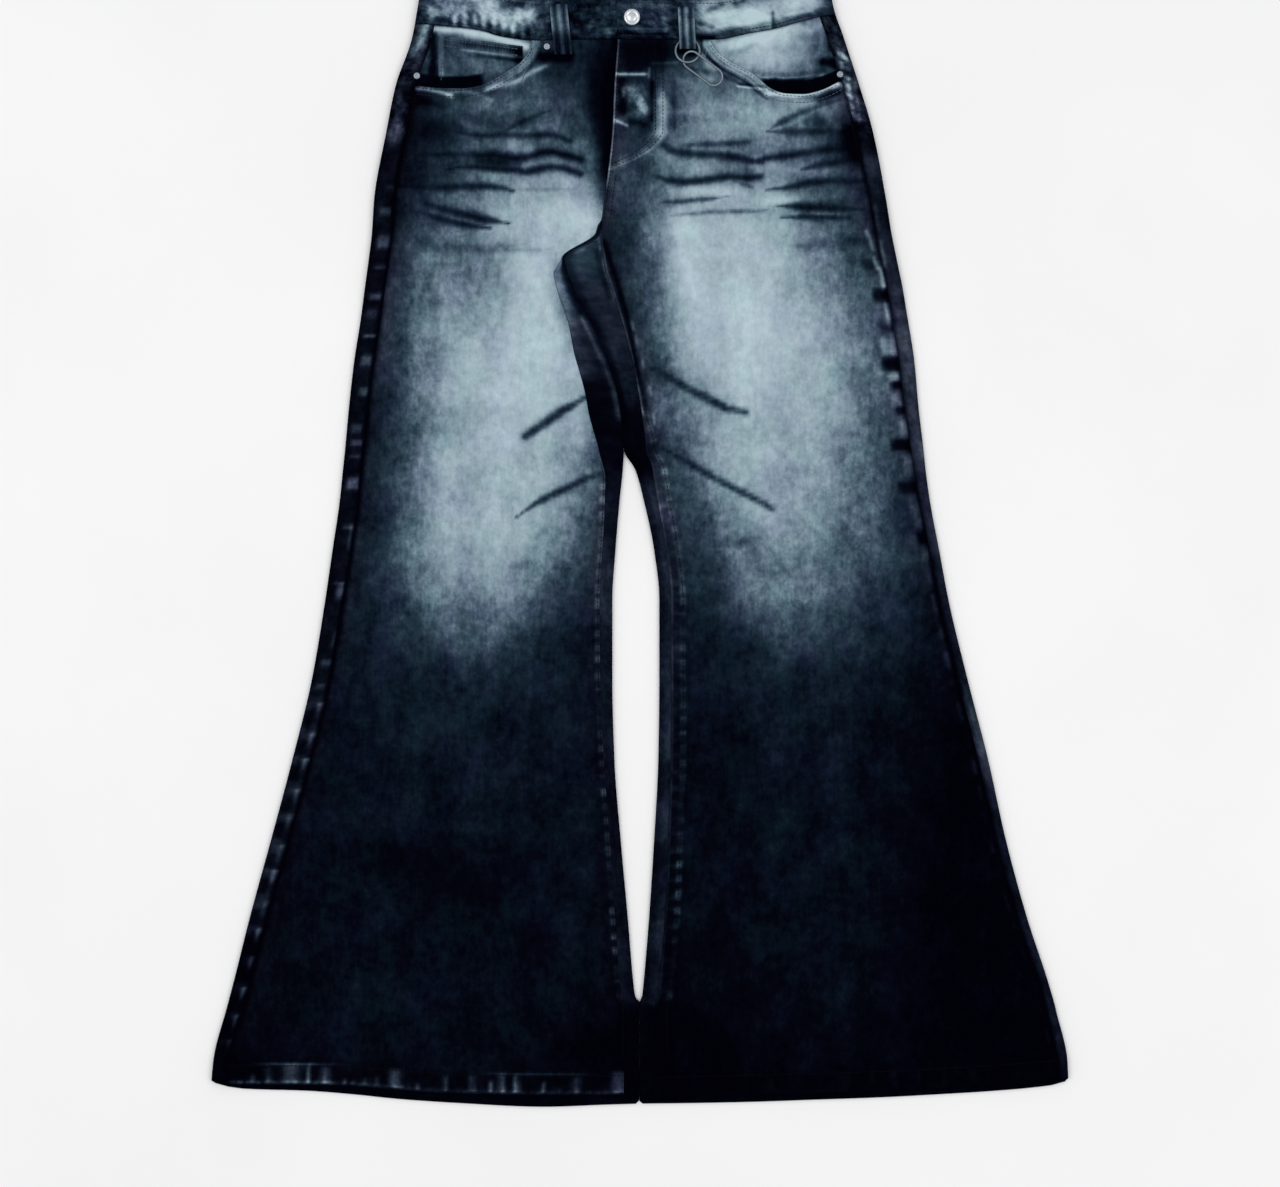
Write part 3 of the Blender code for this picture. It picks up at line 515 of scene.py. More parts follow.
# Soft patches on the fronts: x, down, half width, half height, tone added.
PATCHES = {
    -1: (
        (-214, 128, 26, 12, -0.1), (-150, 132, 42, 9, 0.14), (-100, 112, 26, 14, 0.14),
        # Painted shade: the dark patches at x -36 and -34 lie in the shadow of the lapping fly.
        (-68, 92, 24, 22, -0.14), (-62, 135, 22, 30, -0.06), (-36, 120, 14, 60, -0.18),
        (-34, 190, 12, 26, -0.14), (-120, 128, 60, 6, 0.06), (-190, 152, 30, 12, -0.1),
        (-96, 220, 30, 16, 0.08), (-58, 238, 22, 14, 0.1), (-80, 176, 22, 8, 0.1),
        (-210, 190, 16, 40, -0.08), (-180, 880, 60, 26, -0.07), (-220, 850, 40, 20, -0.06),
        (-90, 240, 7, 30, 0.05), (-70, 236, 10, 16, 0.05), (-142, 258, 30, 10, -0.05),
        (-140, 181, 32, 11, -0.14), (-126, 235, 5, 30, -0.05), (-30, 1040, 40, 26, -0.12),
        (-396, 1050, 40, 26, -0.06), (-60, 880, 24, 120, 0.04), (-270, 900, 50, 60, 0.02),
        (-300, 1030, 60, 20, 0.03), (-80, 545, 40, 16, -0.06), (-150, 300, 26, 46, -0.16),
        (-150, 385, 26, 60, -0.06), (-205, 300, 22, 50, 0.07), (-60, 520, 30, 30, -0.04),
        (-22, 215, 16, 30, 0.08), (-20, 300, 14, 26, 0.14), (-146, 214, 20, 14, 0.06),
        (-232, 436, 26, 50, -0.08), (-190, 438, 26, 54, -0.11), (-64, 468, 24, 22, -0.15),
        (-104, 390, 24, 30, 0.05), (-62, 410, 20, 30, -0.06), (-106, 470, 22, 18, -0.07),
        (-62, 514, 20, 14, 0.07), (-190, 515, 26, 24, -0.06), (-106, 600, 22, 18, -0.05),
        (-104, 219, 24, 14, -0.07), (-62, 219, 20, 12, -0.05), (-20, 258, 14, 16, 0.16),
        (-106, 177, 26, 10, 0.11), (-232, 219, 16, 14, 0.06), (-190, 219, 18, 14, 0.05),
        (-22, 219, 12, 20, 0.08), (-147, 262, 22, 14, 0.07), (-147, 306, 22, 14, -0.04),
        (-190, 134, 18, 14, 0.08), (-192, 177, 18, 16, 0.06), (-62, 134, 20, 16, 0.05),
        (-248, 1000, 50, 24, 0.04), (-140, 560, 46, 28, 0.06), (-62, 548, 20, 24, 0.06),
        (-150, 640, 30, 26, 0.05), (-204, 345, 20, 16, 0.03),
    ),
    1: (
        (60, 118, 26, 22, 0.04), (108, 126, 46, 16, 0.08), (150, 142, 40, 8, 0.12),
        (196, 130, 18, 14, 0.06), (210, 166, 14, 26, -0.22), (30, 150, 14, 60, 0.04),
        (70, 150, 34, 12, 0.1), (80, 188, 40, 5, 0.12), (160, 192, 40, 6, 0.1), (60, 212, 40, 6, 0.12),
        (150, 219, 40, 5, 0.1), (60, 247, 50, 12, 0.08), (160, 249, 40, 8, 0.06),
        (44, 300, 22, 60, 0.06), (300, 800, 60, 200, -0.04), (360, 960, 60, 160, -0.08),
        (130, 345, 60, 50, 0.04), (230, 330, 26, 60, 0.06), (30, 1045, 60, 30, -0.1),
        (110, 480, 26, 22, -0.1), (60, 138, 36, 7, 0.08), (120, 128, 30, 8, 0.06),
        (104, 166, 30, 5, -0.05), (20, 335, 22, 46, -0.09), (150, 326, 24, 66, -0.12),
        (192, 380, 24, 110, -0.09), (108, 474, 20, 18, 0.15), (64, 330, 18, 60, -0.05),
        (64, 440, 24, 36, -0.09), (152, 474, 22, 18, -0.08), (194, 486, 22, 34, -0.1),
        (108, 515, 18, 16, 0.06), (22, 219, 18, 16, -0.12), (22, 177, 16, 14, 0.06),
        (15, 458, 14, 13, -0.16), (14, 384, 12, 14, -0.08), (196, 545, 20, 26, -0.04),
        (46, 800, 18, 190, 0.06), (60, 900, 30, 90, 0.03), (190, 134, 18, 14, 0.1),
        (148, 177, 18, 12, 0.04), (-20, 207, 11, 20, 0.2), (42, 112, 26, 16, 0.06),
        (-4, 140, 10, 12, 0.05), (66, 556, 20, 24, -0.1), (22, 516, 20, 20, 0.05),
        (148, 600, 24, 22, 0.05), (148, 642, 26, 20, 0.05), (68, 510, 20, 18, -0.04),
    ),
}


print("soft patches:", len(PATCHES[-1]), len(PATCHES[1]))

# %% Tone of a leg


def ramp_up(share):
    """Between a straight line and a soft step."""
    return 0.5 * (np.clip(share, 0, 1) + ease(share))


def leg_tone(side, x, down):
    """Fade of a front: dark at both seams, pale between, row by row."""
    table = FADE[side]
    start, full, end_full, end, tone = (column(table, i)(down) for i in range(1, 6))
    base = BASE_TONE[side](down)
    rise = ramp_up((x - start) / (full - start))
    fall = ramp_up((end - x) / (end - end_full))
    return base + (tone - base) * rise * fall + spots(x, down, PATCHES[side])


print("tone of the left thigh: %.2f" % leg_tone(-1, -120.0, 400.0))

# %% [markdown]
# ## Marks of wear, and strokes of painted shade
#
# Abrasion leaves small pale marks where the cloth is thick: on seams, bar tacks and turned edges.
# Next to them the cloth stays unwashed, so each pale mark has a dark neighbour. They are given
# one stroke each, because a noise pattern would never put them on the seams.

# %% Strokes
# A few dark strokes are painted shade: inside the ring, and along the right front's edge.
# For each zone of the cloth: half width, tone added; then x and down of each point of the path.
MARKS = {
    "facing_left": (
        (3.2, 0.34, -200.3, 56.4, -168.6, 58, -146.6, 61.9, -124.5, 68.7, -106.6, 74.9),
        (4.0, -0.36, -198.6, 63.2, -197.5, 83.9, -198.6, 97.7), (2.0, 0.16, -191.7, 63.2, -192, 93.5),
        (6.0, 0.18, -166, 63, -140, 68, -118, 74), (8.0, -0.16, -206, 97, -184, 100),
    ),
    "front_left": (
        (2.2, 0.4, -216.3, 114, -202.7, 115.4, -188.3, 118.4, -180, 122),
        (2.2, 0.2, -184, 120, -173, 117, -160.4, 117.8, -150, 121.6, -141.8, 125.6),
        (2.8, 0.34, -89.4, 92.5, -101.9, 97.6, -116.3, 106.4, -130.7, 111.2, -145.9, 115.2),
        (4.0, -0.16, -210.7, 125.6, -186.7, 132), (5.0, -0.34, -93.9, 84, -68.3, 83.2),
        (4.0, 0.1, -170.7, 147.2, -151.5, 152), (5.0, 0.08, -113.1, 155.2, -81.1, 147.2),
        (5.0, 0.1, -206, 112, -170, 114), (10.0, 0.07, -122, 163, -108, 161),
        (9.0, -0.12, -88, 176, -62, 182), (10.0, -0.11, -150, 184, -122, 185),
        (9.0, 0.07, -168, 168, -110, 170),
    ),
    "front_right": (
        # First stroke: a dark seam, and painted shade where the front's edge meets the strip.
        (2.8, -0.22, -34, 262, -25.4, 288, -18.7, 309, -14, 326, -10, 342, -3.4, 380, 4, 408, 7, 429),
        (1.0, 0.2, -37.4, 256, -30.6, 291.8, -22.6, 315.8, -15.8, 338, -6.8, 371.5, 3.4, 425),
        (1.8, 0.2, -7, 339, -6.2, 345), (1.6, 0.16, -3.8, 353, -2.6, 361), (1.8, 0.22, 3, 375, 4, 381),
        (1.6, 0.18, 9.4, 400, 11, 408), (1.8, 0.2, 13.2, 427, 14.6, 435),
        (3.4, 0.08, 120.7, 222.5, 149.9, 220.4), (1.8, 0.1, 170.8, 233.7, 191.6, 234.6),
        (9.0, -0.24, 202, 156, 208, 174), (1.6, 0.16, 186.7, 86.4, 187.7, 92.2),
        (1.6, 0.18, 60.8, 82.1, 76.8, 97.2, 92.7, 109.6),
        (2.0, -0.3, 66, 84, 82, 102.5, 96, 110, 121, 113.5),
        (2.0, 0.08, 76.8, 82.1, 89.2, 94.5, 99.8, 99.8, 122.9, 103.4),
        (1.3, 0.4, 94.5, 111.9, 122.9, 114.9),
        (1.9, 0.46, 122.9, 118.5, 147.8, 121.1, 170.9, 118.5, 190.4, 109.6),
        # Painted shade: the stroke from x 41 to 53 darkens the cloth inside the hanging ring.
        (3.6, -0.34, 172.6, 124.7, 190.4, 117.6), (5.0, -0.5, 41.3, 76.7, 52.8, 79.4),
        (2.2, -0.34, 57.2, 67, 70.5, 66.1), (3.0, 0.2, 64.3, 89.2, 71.4, 94.5),
        (2.4, -0.14, 51.9, 95.4, 66.1, 98.9), (3.0, 0.1, 59, 103.4, 76.8, 106.9),
        (12.0, -0.21, -10.2, 75, 23.5, 73.2), (10.0, -0.14, -8.5, 90.9, 27.1, 87.4),
        (1.9, 0.62, -20.9, 100.4, 5.7, 100.4), (1.2, 0.3, 9.3, 94.8, 9.3, 103.4),
        (4.5, -0.2, -17.3, 106.9, -16.4, 135.3), (2.0, 0.3, -15.6, 114, -15.6, 121.1),
        (6.4, 0.44, -5.8, 115.8, 4, 133.6), (2.2, -0.26, 12, 108.7, 12, 144.2),
        (5.6, 0.34, 20.8, 121.1, 19.9, 142.4, 18.2, 156.6), (1.7, 0.4, -22.7, 145.1, -12, 149.5),
        (4.0, -0.16, -6.7, 146, 9.3, 149.5), (1.4, 0.14, 11.1, 90.1, 35.9, 89.2),
        (2.0, -0.14, 33.3, 106.9, 33.3, 153.1), (3.0, 0.24, 186, 113, 196, 110),
        (8.0, 0.22, 152, 129, 172, 131), (5.0, 0.14, 182, 140, 190, 152),
        (8.0, -0.12, 44, 143, 92, 142), (7.0, -0.12, 74, 188, 102, 190), (8.0, 0.12, -14, 186, -8, 200),
        (2.4, 0.2, 218, 251.5, 225, 269), (2.4, 0.28, 225, 277, 229, 286),
        (2.6, 0.34, 231.5, 288, 234.5, 304), (2.6, 0.26, 236, 320, 240, 340),
    ),
    "inseam_left": (
        (2.4, 0.24, -55, 334, -50, 345, -42.7, 360, -33, 381, -25.4, 401, -19.5, 430),
    ),
    "band": (
        (1.3, -0.2, 128, 41.3, 128, 56.6), (7.0, 0.26, -146.6, 42.6, -135.5, 46.7, -124.5, 53.6),
        (6.0, 0.28, -116.3, 45.3, -105.2, 42.6), (3.4, -0.26, -130, 34.3, -113.5, 32.9),
        (3.0, -0.3, -193.4, 46.7, -183.8, 49.5), (4.0, 0.2, -205.1, 34.3, -197.5, 41.2),
        (4.0, -0.14, -176.9, 34.3, -157.6, 32.9), (4.6, 0.16, -47.4, 55, -30.8, 58.4),
        (3.0, 0.1, -55.6, 44, -47.4, 46.7), (2.6, 0.12, -44, 62.5, -29.8, 64.3),
        (1.4, 0.16, -20.9, 56.9, 5.7, 57.2, 27.1, 58.1), (1.6, -0.16, -20.9, 61.6, 27.1, 62.2),
        (3.0, 0.16, 22.6, 41.2, 25.3, 59), (3.4, 0.1, -15.6, 35.9, 11.1, 34.1),
        (2.2, -0.3, 59, 51.9, 69.7, 55.4), (3.2, -0.42, 58.1, 64.3, 70.5, 65.2),
        (3.0, -0.34, 66.1, 39.5, 78.5, 34.1), (2.0, -0.26, 91, 32.4, 99.8, 30.6),
        (2.2, -0.2, 127.4, 41.2, 130, 55.4),
        (1.3, -0.12, 75, 61.6, 103.4, 55.4, 130, 49.8, 163.8, 42.1),
        (2.0, 0.12, 75, 55.4, 112.3, 48.3, 165.5, 39.5), (5.0, 0.14, 80.3, 44.8, 112.3, 39.5),
        (9.0, 0.2, 68, 56, 112, 46, 168, 34), (9.0, 0.16, -176, 50, -146, 52, -116, 56),
        (9.0, 0.18, 148, 34, 166, 30), (8.0, -0.16, 92, 38, 110, 33), (7.0, -0.14, -156, 38, -150, 36),
    ),
    "strip_right": (
        (3.2, 0.34, 200, 105.6, 204, 144), (1.8, 0.28, 206.9, 109.4, 211.7, 144),
        (10.0, -0.24, 210, 155.5, 224, 168), (2.0, 0.3, 193.4, 86.4, 195.4, 101.8, 197.3, 119),
        (2.4, 0.26, 190.4, 78.5, 201, 87.4), (2.6, 0.26, 199.3, 105.1, 202.8, 121.1),
        (2.2, 0.2, 204.6, 128.2, 208.1, 142.4), (2.2, -0.12, 195.7, 96.3, 201, 99.8),
        (2.0, 0.16, 195.7, 71.4, 198.4, 87.4), (4.5, 0.24, 195, 80, 199, 92, 202, 106),
        (4.0, 0.14, 196, 120, 203, 150), (2.2, 0.22, 226, 227, 229.5, 249),
        (2.2, 0.36, 231.5, 262, 235.5, 283),
    ),
    "inseam_right": (
        # The second stroke is the strip's side of that dark seam and painted shade.
        (0.9, 0.2, -39.5, 257.6, -33, 288, -24.6, 315), (2.2, -0.14, -41, 270, -35.5, 294, -29, 313),
        (2.4, 0.24, -60, 270.4, -54, 268), (10.0, 0.05, -56, 272, -48, 296),
    ),
    "strip_left": (
        (5.0, 0.52, -202.3, 48.1, -208.5, 64.7, -217.6, 80), (3.0, -0.1, -216.8, 70.1, -222.3, 86.7),
        (6.0, 0.26, -234, 153, -236, 162), (3.5, 0.05, -231, 137, -233, 147),
        (2.5, 0.16, -241, 208, -236, 210), (6.0, 0.06, -250, 226, -252, 240),
    ),
    "facing_right": (
        (1.4, -0.12, 75, 68.7, 103.4, 62.5, 130, 56.3, 165.5, 47.4),
        (4.2, -0.5, 176.5, 88.3, 188.6, 90.1), (3.4, -0.34, 181.5, 48.3, 183.3, 75),
        (3.0, -0.12, 87.4, 80.3, 112.3, 71.4), (2.4, -0.16, 156.7, 51.9, 163.8, 53.7),
        (6.0, 0.16, 76, 74, 112, 66, 160, 53), (3.2, -0.13, 110, 98, 125, 100, 150, 101, 176, 97),
        (1.1, 0.14, 118, 103.4, 136, 104.6, 156, 104.2, 176, 100.4), (8.0, -0.14, 170, 66, 172, 96),
    ),
}


def marks(zone, x, down):
    """Tone that the strokes of one zone add."""
    total = np.zeros(np.broadcast(x, down).shape)
    for half, tone, *path in MARKS[zone]:
        total += tone * bell(to_line(x, down, pairs(path)), half)
    if zone == "strip_right":
        # Above the hip the strokes break up into slanting bars.
        total = total * (0.72 + 0.28 * np.cos(2 * math.pi * (down - 0.6 * x) / 8.4) * (down < 150))
    return total


print("marks:", sum(len(strokes) for strokes in MARKS.values()))

# %% Wear beside the side seams
# Wear beside the side seam, one row a mark: down, half height, nearest and furthest distance from
# the seam, tone. On the right it lies on the front, on the left on the back panel's strip.
SEAM_WEAR = {
    1: (
        (312.5, 7, 0, 15, -0.36), (342, 4, 0, 13, -0.2), (378, 7, 0, 17, -0.38),
        (399, 4.5, 0, 10, -0.32), (422.4, 4, 0, 9, -0.22), (456, 6, 0, 19, -0.32),
        (496.8, 6, 0, 18, -0.22), (544.8, 6, 0, 9, -0.22), (283.2, 5, 8, 20, -0.16),
        (361, 10, 1, 16, 0.22), (390, 4, 2, 13, 0.22), (412.8, 6, 2, 13, 0.15), (440, 8, 0, 8, 0.22),
        (474, 10, 0, 9, 0.18), (524, 12, 1, 11, 0.16), (561.6, 6, 1, 8, 0.12),
    ),
    -1: (
        (232, 4, 1, 11, 0.26), (261.4, 7, 0, 12, 0.3), (284.8, 1.6, 0, 12, 0.28),
        (313.6, 3.6, 0, 12, 0.3), (329.6, 5, 2, 12, 0.18), (352, 1.8, 0, 12, 0.34),
        (375, 5.6, 0, 11, 0.34), (404.8, 4.5, 0, 9, 0.26), (440, 4.6, 2, 12, 0.22),
        (454.4, 3, 1, 12, 0.28), (466.2, 1.8, 1, 12, 0.24), (492.8, 6.4, 0, 12, 0.36),
        (544, 12, 0, 3, 0.3), (534.4, 2, 0, 11, 0.26), (596.8, 8, 0, 7, 0.32), (588.8, 2, 0, 12, 0.22),
        (643.2, 9, 0, 3, 0.3), (665.6, 3.4, 0, 10, 0.26), (688, 2, 1, 10, 0.22),
    ),
}


def seam_wear(side, from_seam, down):
    """Tone that the marks beside a side seam add."""
    total = np.zeros(np.broadcast(from_seam, down).shape)
    for centre, half, near, far, tone in SEAM_WEAR[side]:
        along = plateau(np.abs(down - centre), half)
        across = grow(from_seam - near, -1, 2) * wane(from_seam - far, -3, 6)
        total += tone * along * across
    return total


print("marks beside the seams:", len(SEAM_WEAR[-1]), len(SEAM_WEAR[1]))

# %% Uneven dashes


def dice(k, seed):
    """A fixed number from 0 to 1 for each whole number k."""
    value = np.sin(k * 12.9898 + seed * 78.233) * 43758.5453
    return value - np.floor(value)


def ticks(along, period, seed, least=0.25, most=0.7):
    """Uneven dashes: up to 1 on a dash and 0 between."""
    k = np.floor(along / period)
    share = along / period - k - 0.15 * dice(k, seed)
    long = least + (most - least) * dice(k, seed + 1)
    on = ease(share / 0.12) * (1 - ease((share - long) / 0.15))
    return on * (0.3 + 0.7 * dice(k, seed + 2))


print("lengths of the first dashes:", np.round(dice(np.arange(4), 7), 2))

# %% [markdown]
# ## Denim as a material
#
# Denim is a 3/1 twill: white weft under indigo warp. Its threads are about 0.5 mm apart, too fine
# to show from here, so the twill line is drawn at 2 mm. What shows most is slub: warp threads that
# are thick in places, which stay darker or wear paler in short upright dashes. The tone attribute
# goes through a colour ramp; noise on the cloth's own coordinates moves it up and down first.

# %% Material helpers


def linear(code):
    """sRGB hex to linear RGBA."""
    parts = [int(code[i:i + 2], 16) / 255 for i in (1, 3, 5)]
    return (*[p / 12.92 if p <= 0.04045 else ((p + 0.055) / 1.055) ** 2.4 for p in parts], 1.0)


def node(tree, kind, settings=None, inputs=None):
    """One node with its settings; an input is a value, or a (node, socket) it is linked from."""
    made = tree.nodes.new(kind)
    for key, value in (settings or {}).items():
        setattr(made, key, value)
    for key, value in (inputs or {}).items():
        socket = made.inputs[key]
        if isinstance(value, tuple) and len(value) == 2 and hasattr(value[0], "outputs"):
            tree.links.new(value[0].outputs[value[1]], socket)
        else:
            socket.default_value = value
    return made


def new_material(name):
    made = bpy.data.materials.new(name)
    made.use_nodes = True
    tree = made.node_tree
    return made, tree, tree.nodes["Principled BSDF"]


def feed(tree, shader, name, source):
    """Links a (node, socket) into one input of the shader."""
    tree.links.new(source[0].outputs[source[1]], shader.inputs[name])


def object_noise(tree, scale, detail, rough=0.5):
    """Noise on the object's own coordinates, in metres."""
    where = node(tree, "ShaderNodeTexCoord")
    inputs = {"Vector": (where, "Object"), "Scale": scale, "Detail": detail, "Roughness": rough}
    return node(tree, "ShaderNodeTexNoise", None, inputs), "Fac"


def colour_ramp(tree, source, stops):
    """A ramp with colour stops: (position, hex)."""
    made = node(tree, "ShaderNodeValToRGB", None, {"Fac": source})
    elements = made.color_ramp.elements
    while len(elements) > 1:
        elements.remove(elements[-1])
    elements[0].position, elements[0].color = stops[0][0], linear(stops[0][1])
    for position, code in stops[1:]:
        elements.new(position).color = linear(code)
    return made, "Color"


def add_bump(tree, shader, height, strength, distance):
    inputs = {"Height": height, "Strength": strength, "Distance": distance}
    feed(tree, shader, "Normal", (node(tree, "ShaderNodeBump", None, inputs), "Normal"))


print("mid grey in linear light: %.3f" % linear("#808080")[0])

# %% Denim
# Tone and its colour, from unwashed to palest; then the casts of the dye.
DYE = (
    (0.0, "#010109"), (0.08, "#050813"), (0.16, "#0C1622"), (0.26, "#192735"), (0.36, "#2A3A48"),
    (0.46, "#3E505F"), (0.56, "#566A78"), (0.66, "#728794"), (0.76, "#8CA1AC"), (0.86, "#A3B7C0"),
    (1.0, "#BCCDD3"),
)
CAST = ((0.34, "#6B8D86"), (0.5, "#7D7E86"), (0.66, "#8C799C"))
VIOLET = "#D2ACB0"
SHEEN = "#2A3C80"


def make_denim():
    """Washed indigo twill: matt, a little fuzzy, its relief from slub and twill line."""
    made, tree, shader = new_material("washed_indigo_denim")
    cloth = node(tree, "ShaderNodeUVMap", {"uv_map": "cloth"})

    # Each of these gives a (node, socket), to be linked into the next one.
    def attribute(name):
        return node(tree, "ShaderNodeAttribute", {"attribute_name": name}), "Fac"

    def noise(across, along, detail, rough):
        stretch = {"Vector": (cloth, "UV"), "Scale": (across, along, 1.0)}
        where = node(tree, "ShaderNodeMapping", None, stretch)
        inputs = {"Vector": (where, "Vector"), "Scale": 1.0, "Detail": detail, "Roughness": rough}
        return node(tree, "ShaderNodeTexNoise", {"noise_dimensions": "2D"}, inputs), "Fac"

    def compute(what, a, b, clamp=False):
        settings = {"operation": what, "use_clamp": clamp}
        return node(tree, "ShaderNodeMath", settings, {0: a, 1: b}), "Value"

    def by_tone(low, high, first, last):
        """A value that goes from first to last while the tone goes from low to high."""
        limits = {"Value": tone, "From Min": low, "From Max": high, "To Min": first, "To Max": last}
        return node(tree, "ShaderNodeMapRange", {"clamp": True}, limits), "Result"

    def overlay(share, below, above):
        settings = {"data_type": "RGBA", "blend_type": "OVERLAY"}
        return node(tree, "ShaderNodeMix", settings, {0: share, 6: below, 7: above}), 2

    tone = attribute("tone")
    slub = noise(300.0, 48.0, 3.0, 0.6)        # dashes 3 mm wide and 20 mm long
    grain = noise(330.0, 260.0, 2.0, 0.65)     # 3 mm grain
    blot = noise(120.0, 105.0, 3.0, 0.6)       # 9 mm blots, where the wash bit unevenly
    cloud = noise(34.0, 24.0, 3.0, 0.55)       # patches of 30 to 40 mm
    waves = None
    for source, amount in ((slub, 0.16), (grain, 0.18), (blot, 0.5), (cloud, 0.62)):
        scaled = compute("MULTIPLY", compute("SUBTRACT", source, 0.5), amount)
        waves = scaled if waves is None else compute("ADD", waves, scaled)
    # The threads show most where the cloth is half worn, and hardly at all where it is unwashed.
    half_worn, bleached = by_tone(0.02, 0.5, 0.24, 0.74), by_tone(0.5, 0.9, 1.0, 0.55)
    threads = compute("MULTIPLY", waves, compute("MULTIPLY", half_worn, bleached))
    blots = compute("MULTIPLY", compute("SUBTRACT", blot, 0.5), attribute("mottle"))
    total = compute("ADD", tone, compute("ADD", threads, blots), True)
    dyed = colour_ramp(tree, total, DYE)
    # The dye casts teal in some places and violet in others, most of all where it is unwashed.
    cast = colour_ramp(tree, noise(26.0, 19.0, 3.0, 0.6), CAST)
    tinted = overlay(by_tone(0.1, 0.8, 0.6, 0.18), dyed, cast)
    # Seams, roping and hems keep a violet cast, because the wash reaches their folds last.
    share = compute("MULTIPLY", attribute("violet"), by_tone(0.3, 0.62, 1.0, 0.15))
    feed(tree, shader, "Base Color", overlay(share, tinted, linear(VIOLET)))
    turned = node(
        tree, "ShaderNodeMapping", None,
        {"Vector": (cloth, "UV"), "Rotation": (0.0, 0.0, math.radians(-62))},
    )
    twill = node(
        tree, "ShaderNodeTexWave", {"wave_type": "BANDS"},
        {"Vector": (turned, "Vector"), "Scale": 500.0 / math.pi, "Distortion": 1.2, "Detail": 1.0},
    )
    relief = compute("ADD", slub, compute("MULTIPLY", (twill, "Fac"), 0.35))
    add_bump(tree, shader, relief, 0.35, 0.0006)
    shader.inputs["Roughness"].default_value = 0.92
    shader.inputs["Specular IOR Level"].default_value = 0.006
    shader.inputs["Sheen Weight"].default_value = 0.03
    shader.inputs["Sheen Tint"].default_value = linear(SHEEN)
    shader.inputs["Sheen Roughness"].default_value = 0.6
    return made


DENIM = make_denim()
print("denim nodes:", len(DENIM.node_tree.nodes))

# %% [markdown]
# ## Cloth shells
#
# Every panel is made the same way: a grid of points on its outer face, a second grid one cloth
# thickness in, and a narrow wall round the edge that joins the two. A grid is the honest mesh for a
# cut panel, because its rows and columns can follow the warp and the weft.

# %% Points and faces of a grid


def stack(*coordinates):
    """Points from grids of their coordinates."""
    return np.stack(coordinates, -1)


def place(points):
    """Millimetres with down from the top, to metres in the frame."""
    points = np.asarray(points, float)
    return stack(points[..., 0], ORIGIN_DOWN - points[..., 1], points[..., 2]) / 1000


def grid_faces(rows, cols):
    a = (np.arange(rows - 1)[:, None] * cols + np.arange(cols - 1)[None]).reshape(-1)
    return np.stack([a, a + 1, a + cols + 1, a + cols], 1)


print("faces of a grid of 3 by 4 points:", len(grid_faces(3, 4)))

# %% Closed shell


def new_piece(name, mesh, material, *nodes):
    """An object of cloth or thread, and the solids that it stands for."""
    piece = bpy.data.objects.new(name, mesh)
    bpy.context.collection.objects.link(piece)
    mesh.materials.append(material)
    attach(piece, "jeans")
    if nodes:
        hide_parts(*nodes)
    return piece


def cloth_shell(name, outer, inner, tone, uv, node_name, mottle=0.0, violet=0.0):
    """A closed shell from two grids of points; tone and uv are given per point, uv in metres."""
    outer, inner = place(outer), place(inner)
    rows, cols = outer.shape[:2]
    shift = rows * cols
    points = np.concatenate([outer.reshape(-1, 3), inner.reshape(-1, 3)])
    top = grid_faces(rows, cols)
    ring = np.concatenate([
        np.arange(cols), np.arange(1, rows) * cols + cols - 1,
        (rows - 1) * cols + np.arange(cols - 2, -1, -1), np.arange(rows - 2, 0, -1) * cols,
    ])
    after = np.roll(ring, -1)
    edge = np.stack([ring, ring + shift, after + shift, after], 1)
    faces = np.concatenate([top, top[:, ::-1] + shift, edge])
    corner = outer[0, 0]
    if np.cross(outer[0, 1] - corner, outer[1, 0] - corner) @ (corner - inner[0, 0]) < 0:
        faces = faces[:, ::-1]
    mesh = bpy.data.meshes.new(name)
    mesh.from_pydata(points.tolist(), [], faces.tolist())
    tones = np.concatenate([np.clip(tone, 0, 1).reshape(-1)] * 2).astype(np.float32)
    mesh.attributes.new("tone", "FLOAT", "POINT").data.foreach_set("value", tones)
    for label, value in (("mottle", mottle), ("violet", violet)):
        both = np.broadcast_to(np.asarray(value, np.float32), (2, rows, cols)).reshape(-1)
        mesh.attributes.new(label, "FLOAT", "POINT").data.foreach_set("value", both)
    where = np.concatenate([np.asarray(uv, float).reshape(-1, 2)] * 2)
    layer = mesh.uv_layers.new(name="cloth")
    loops = np.empty(len(mesh.loops), np.int32)
    mesh.loops.foreach_get("vertex_index", loops)
    layer.data.foreach_set("uv", where[loops].astype(np.float32).reshape(-1))
    mesh.polygons.foreach_set("use_smooth", np.ones(len(mesh.polygons), bool))
    mesh.validate()
    piece = new_piece(name, mesh, DENIM, node_name)
    across = np.linalg.norm(np.diff(outer, axis=1), axis=2).sum(axis=1).max()
    along = np.linalg.norm(np.diff(outer, axis=0), axis=2).sum(axis=0).max()

# %% [markdown]
# ## Front panels
#
# The front runs from the side seam to the inseam, and at the hip to the centre-front seam. Its top
# edge follows the waist seam and then dips along the pocket opening. The columns lean with the
# flare, and the rows follow the top edge until they straighten out below the pocket.

# %% Grid of a front
SPREAD = np.concatenate([
    np.linspace(0, 0.09, 21)[:-1], np.linspace(0.09, 0.9, 80), np.linspace(0.9, 1, 25)[1:],
])
ROWS = np.concatenate([
    np.linspace(66, 160, 78)[:-1], np.linspace(160, 262, 56)[:-1], np.linspace(262, 1040, 226)[:-1],
    np.linspace(1040, 1080, 27),
])


def side_line(side, down):
    """x of a front's edge at the side seam."""
    return OUT[side](down) - side * (SIDE[side](down) + SEAM)


def inner_line(side, down):
    """x of a front's edge at the centre front and the inseam."""
    step = SEAM / 2 + SEAM / 2 * below_crotch(down)
    return IN[side](down) + side * (INSEAM[side](down) + step)


def opening_edge(side, x):
    """Top edge of a front: the pocket's edge, and the waist seam beside it."""
    return np.where((x - POCKET_START[side]) * side > 0, POCKET[side](x), FRONT_WAIST(x) + BAND_GAP)


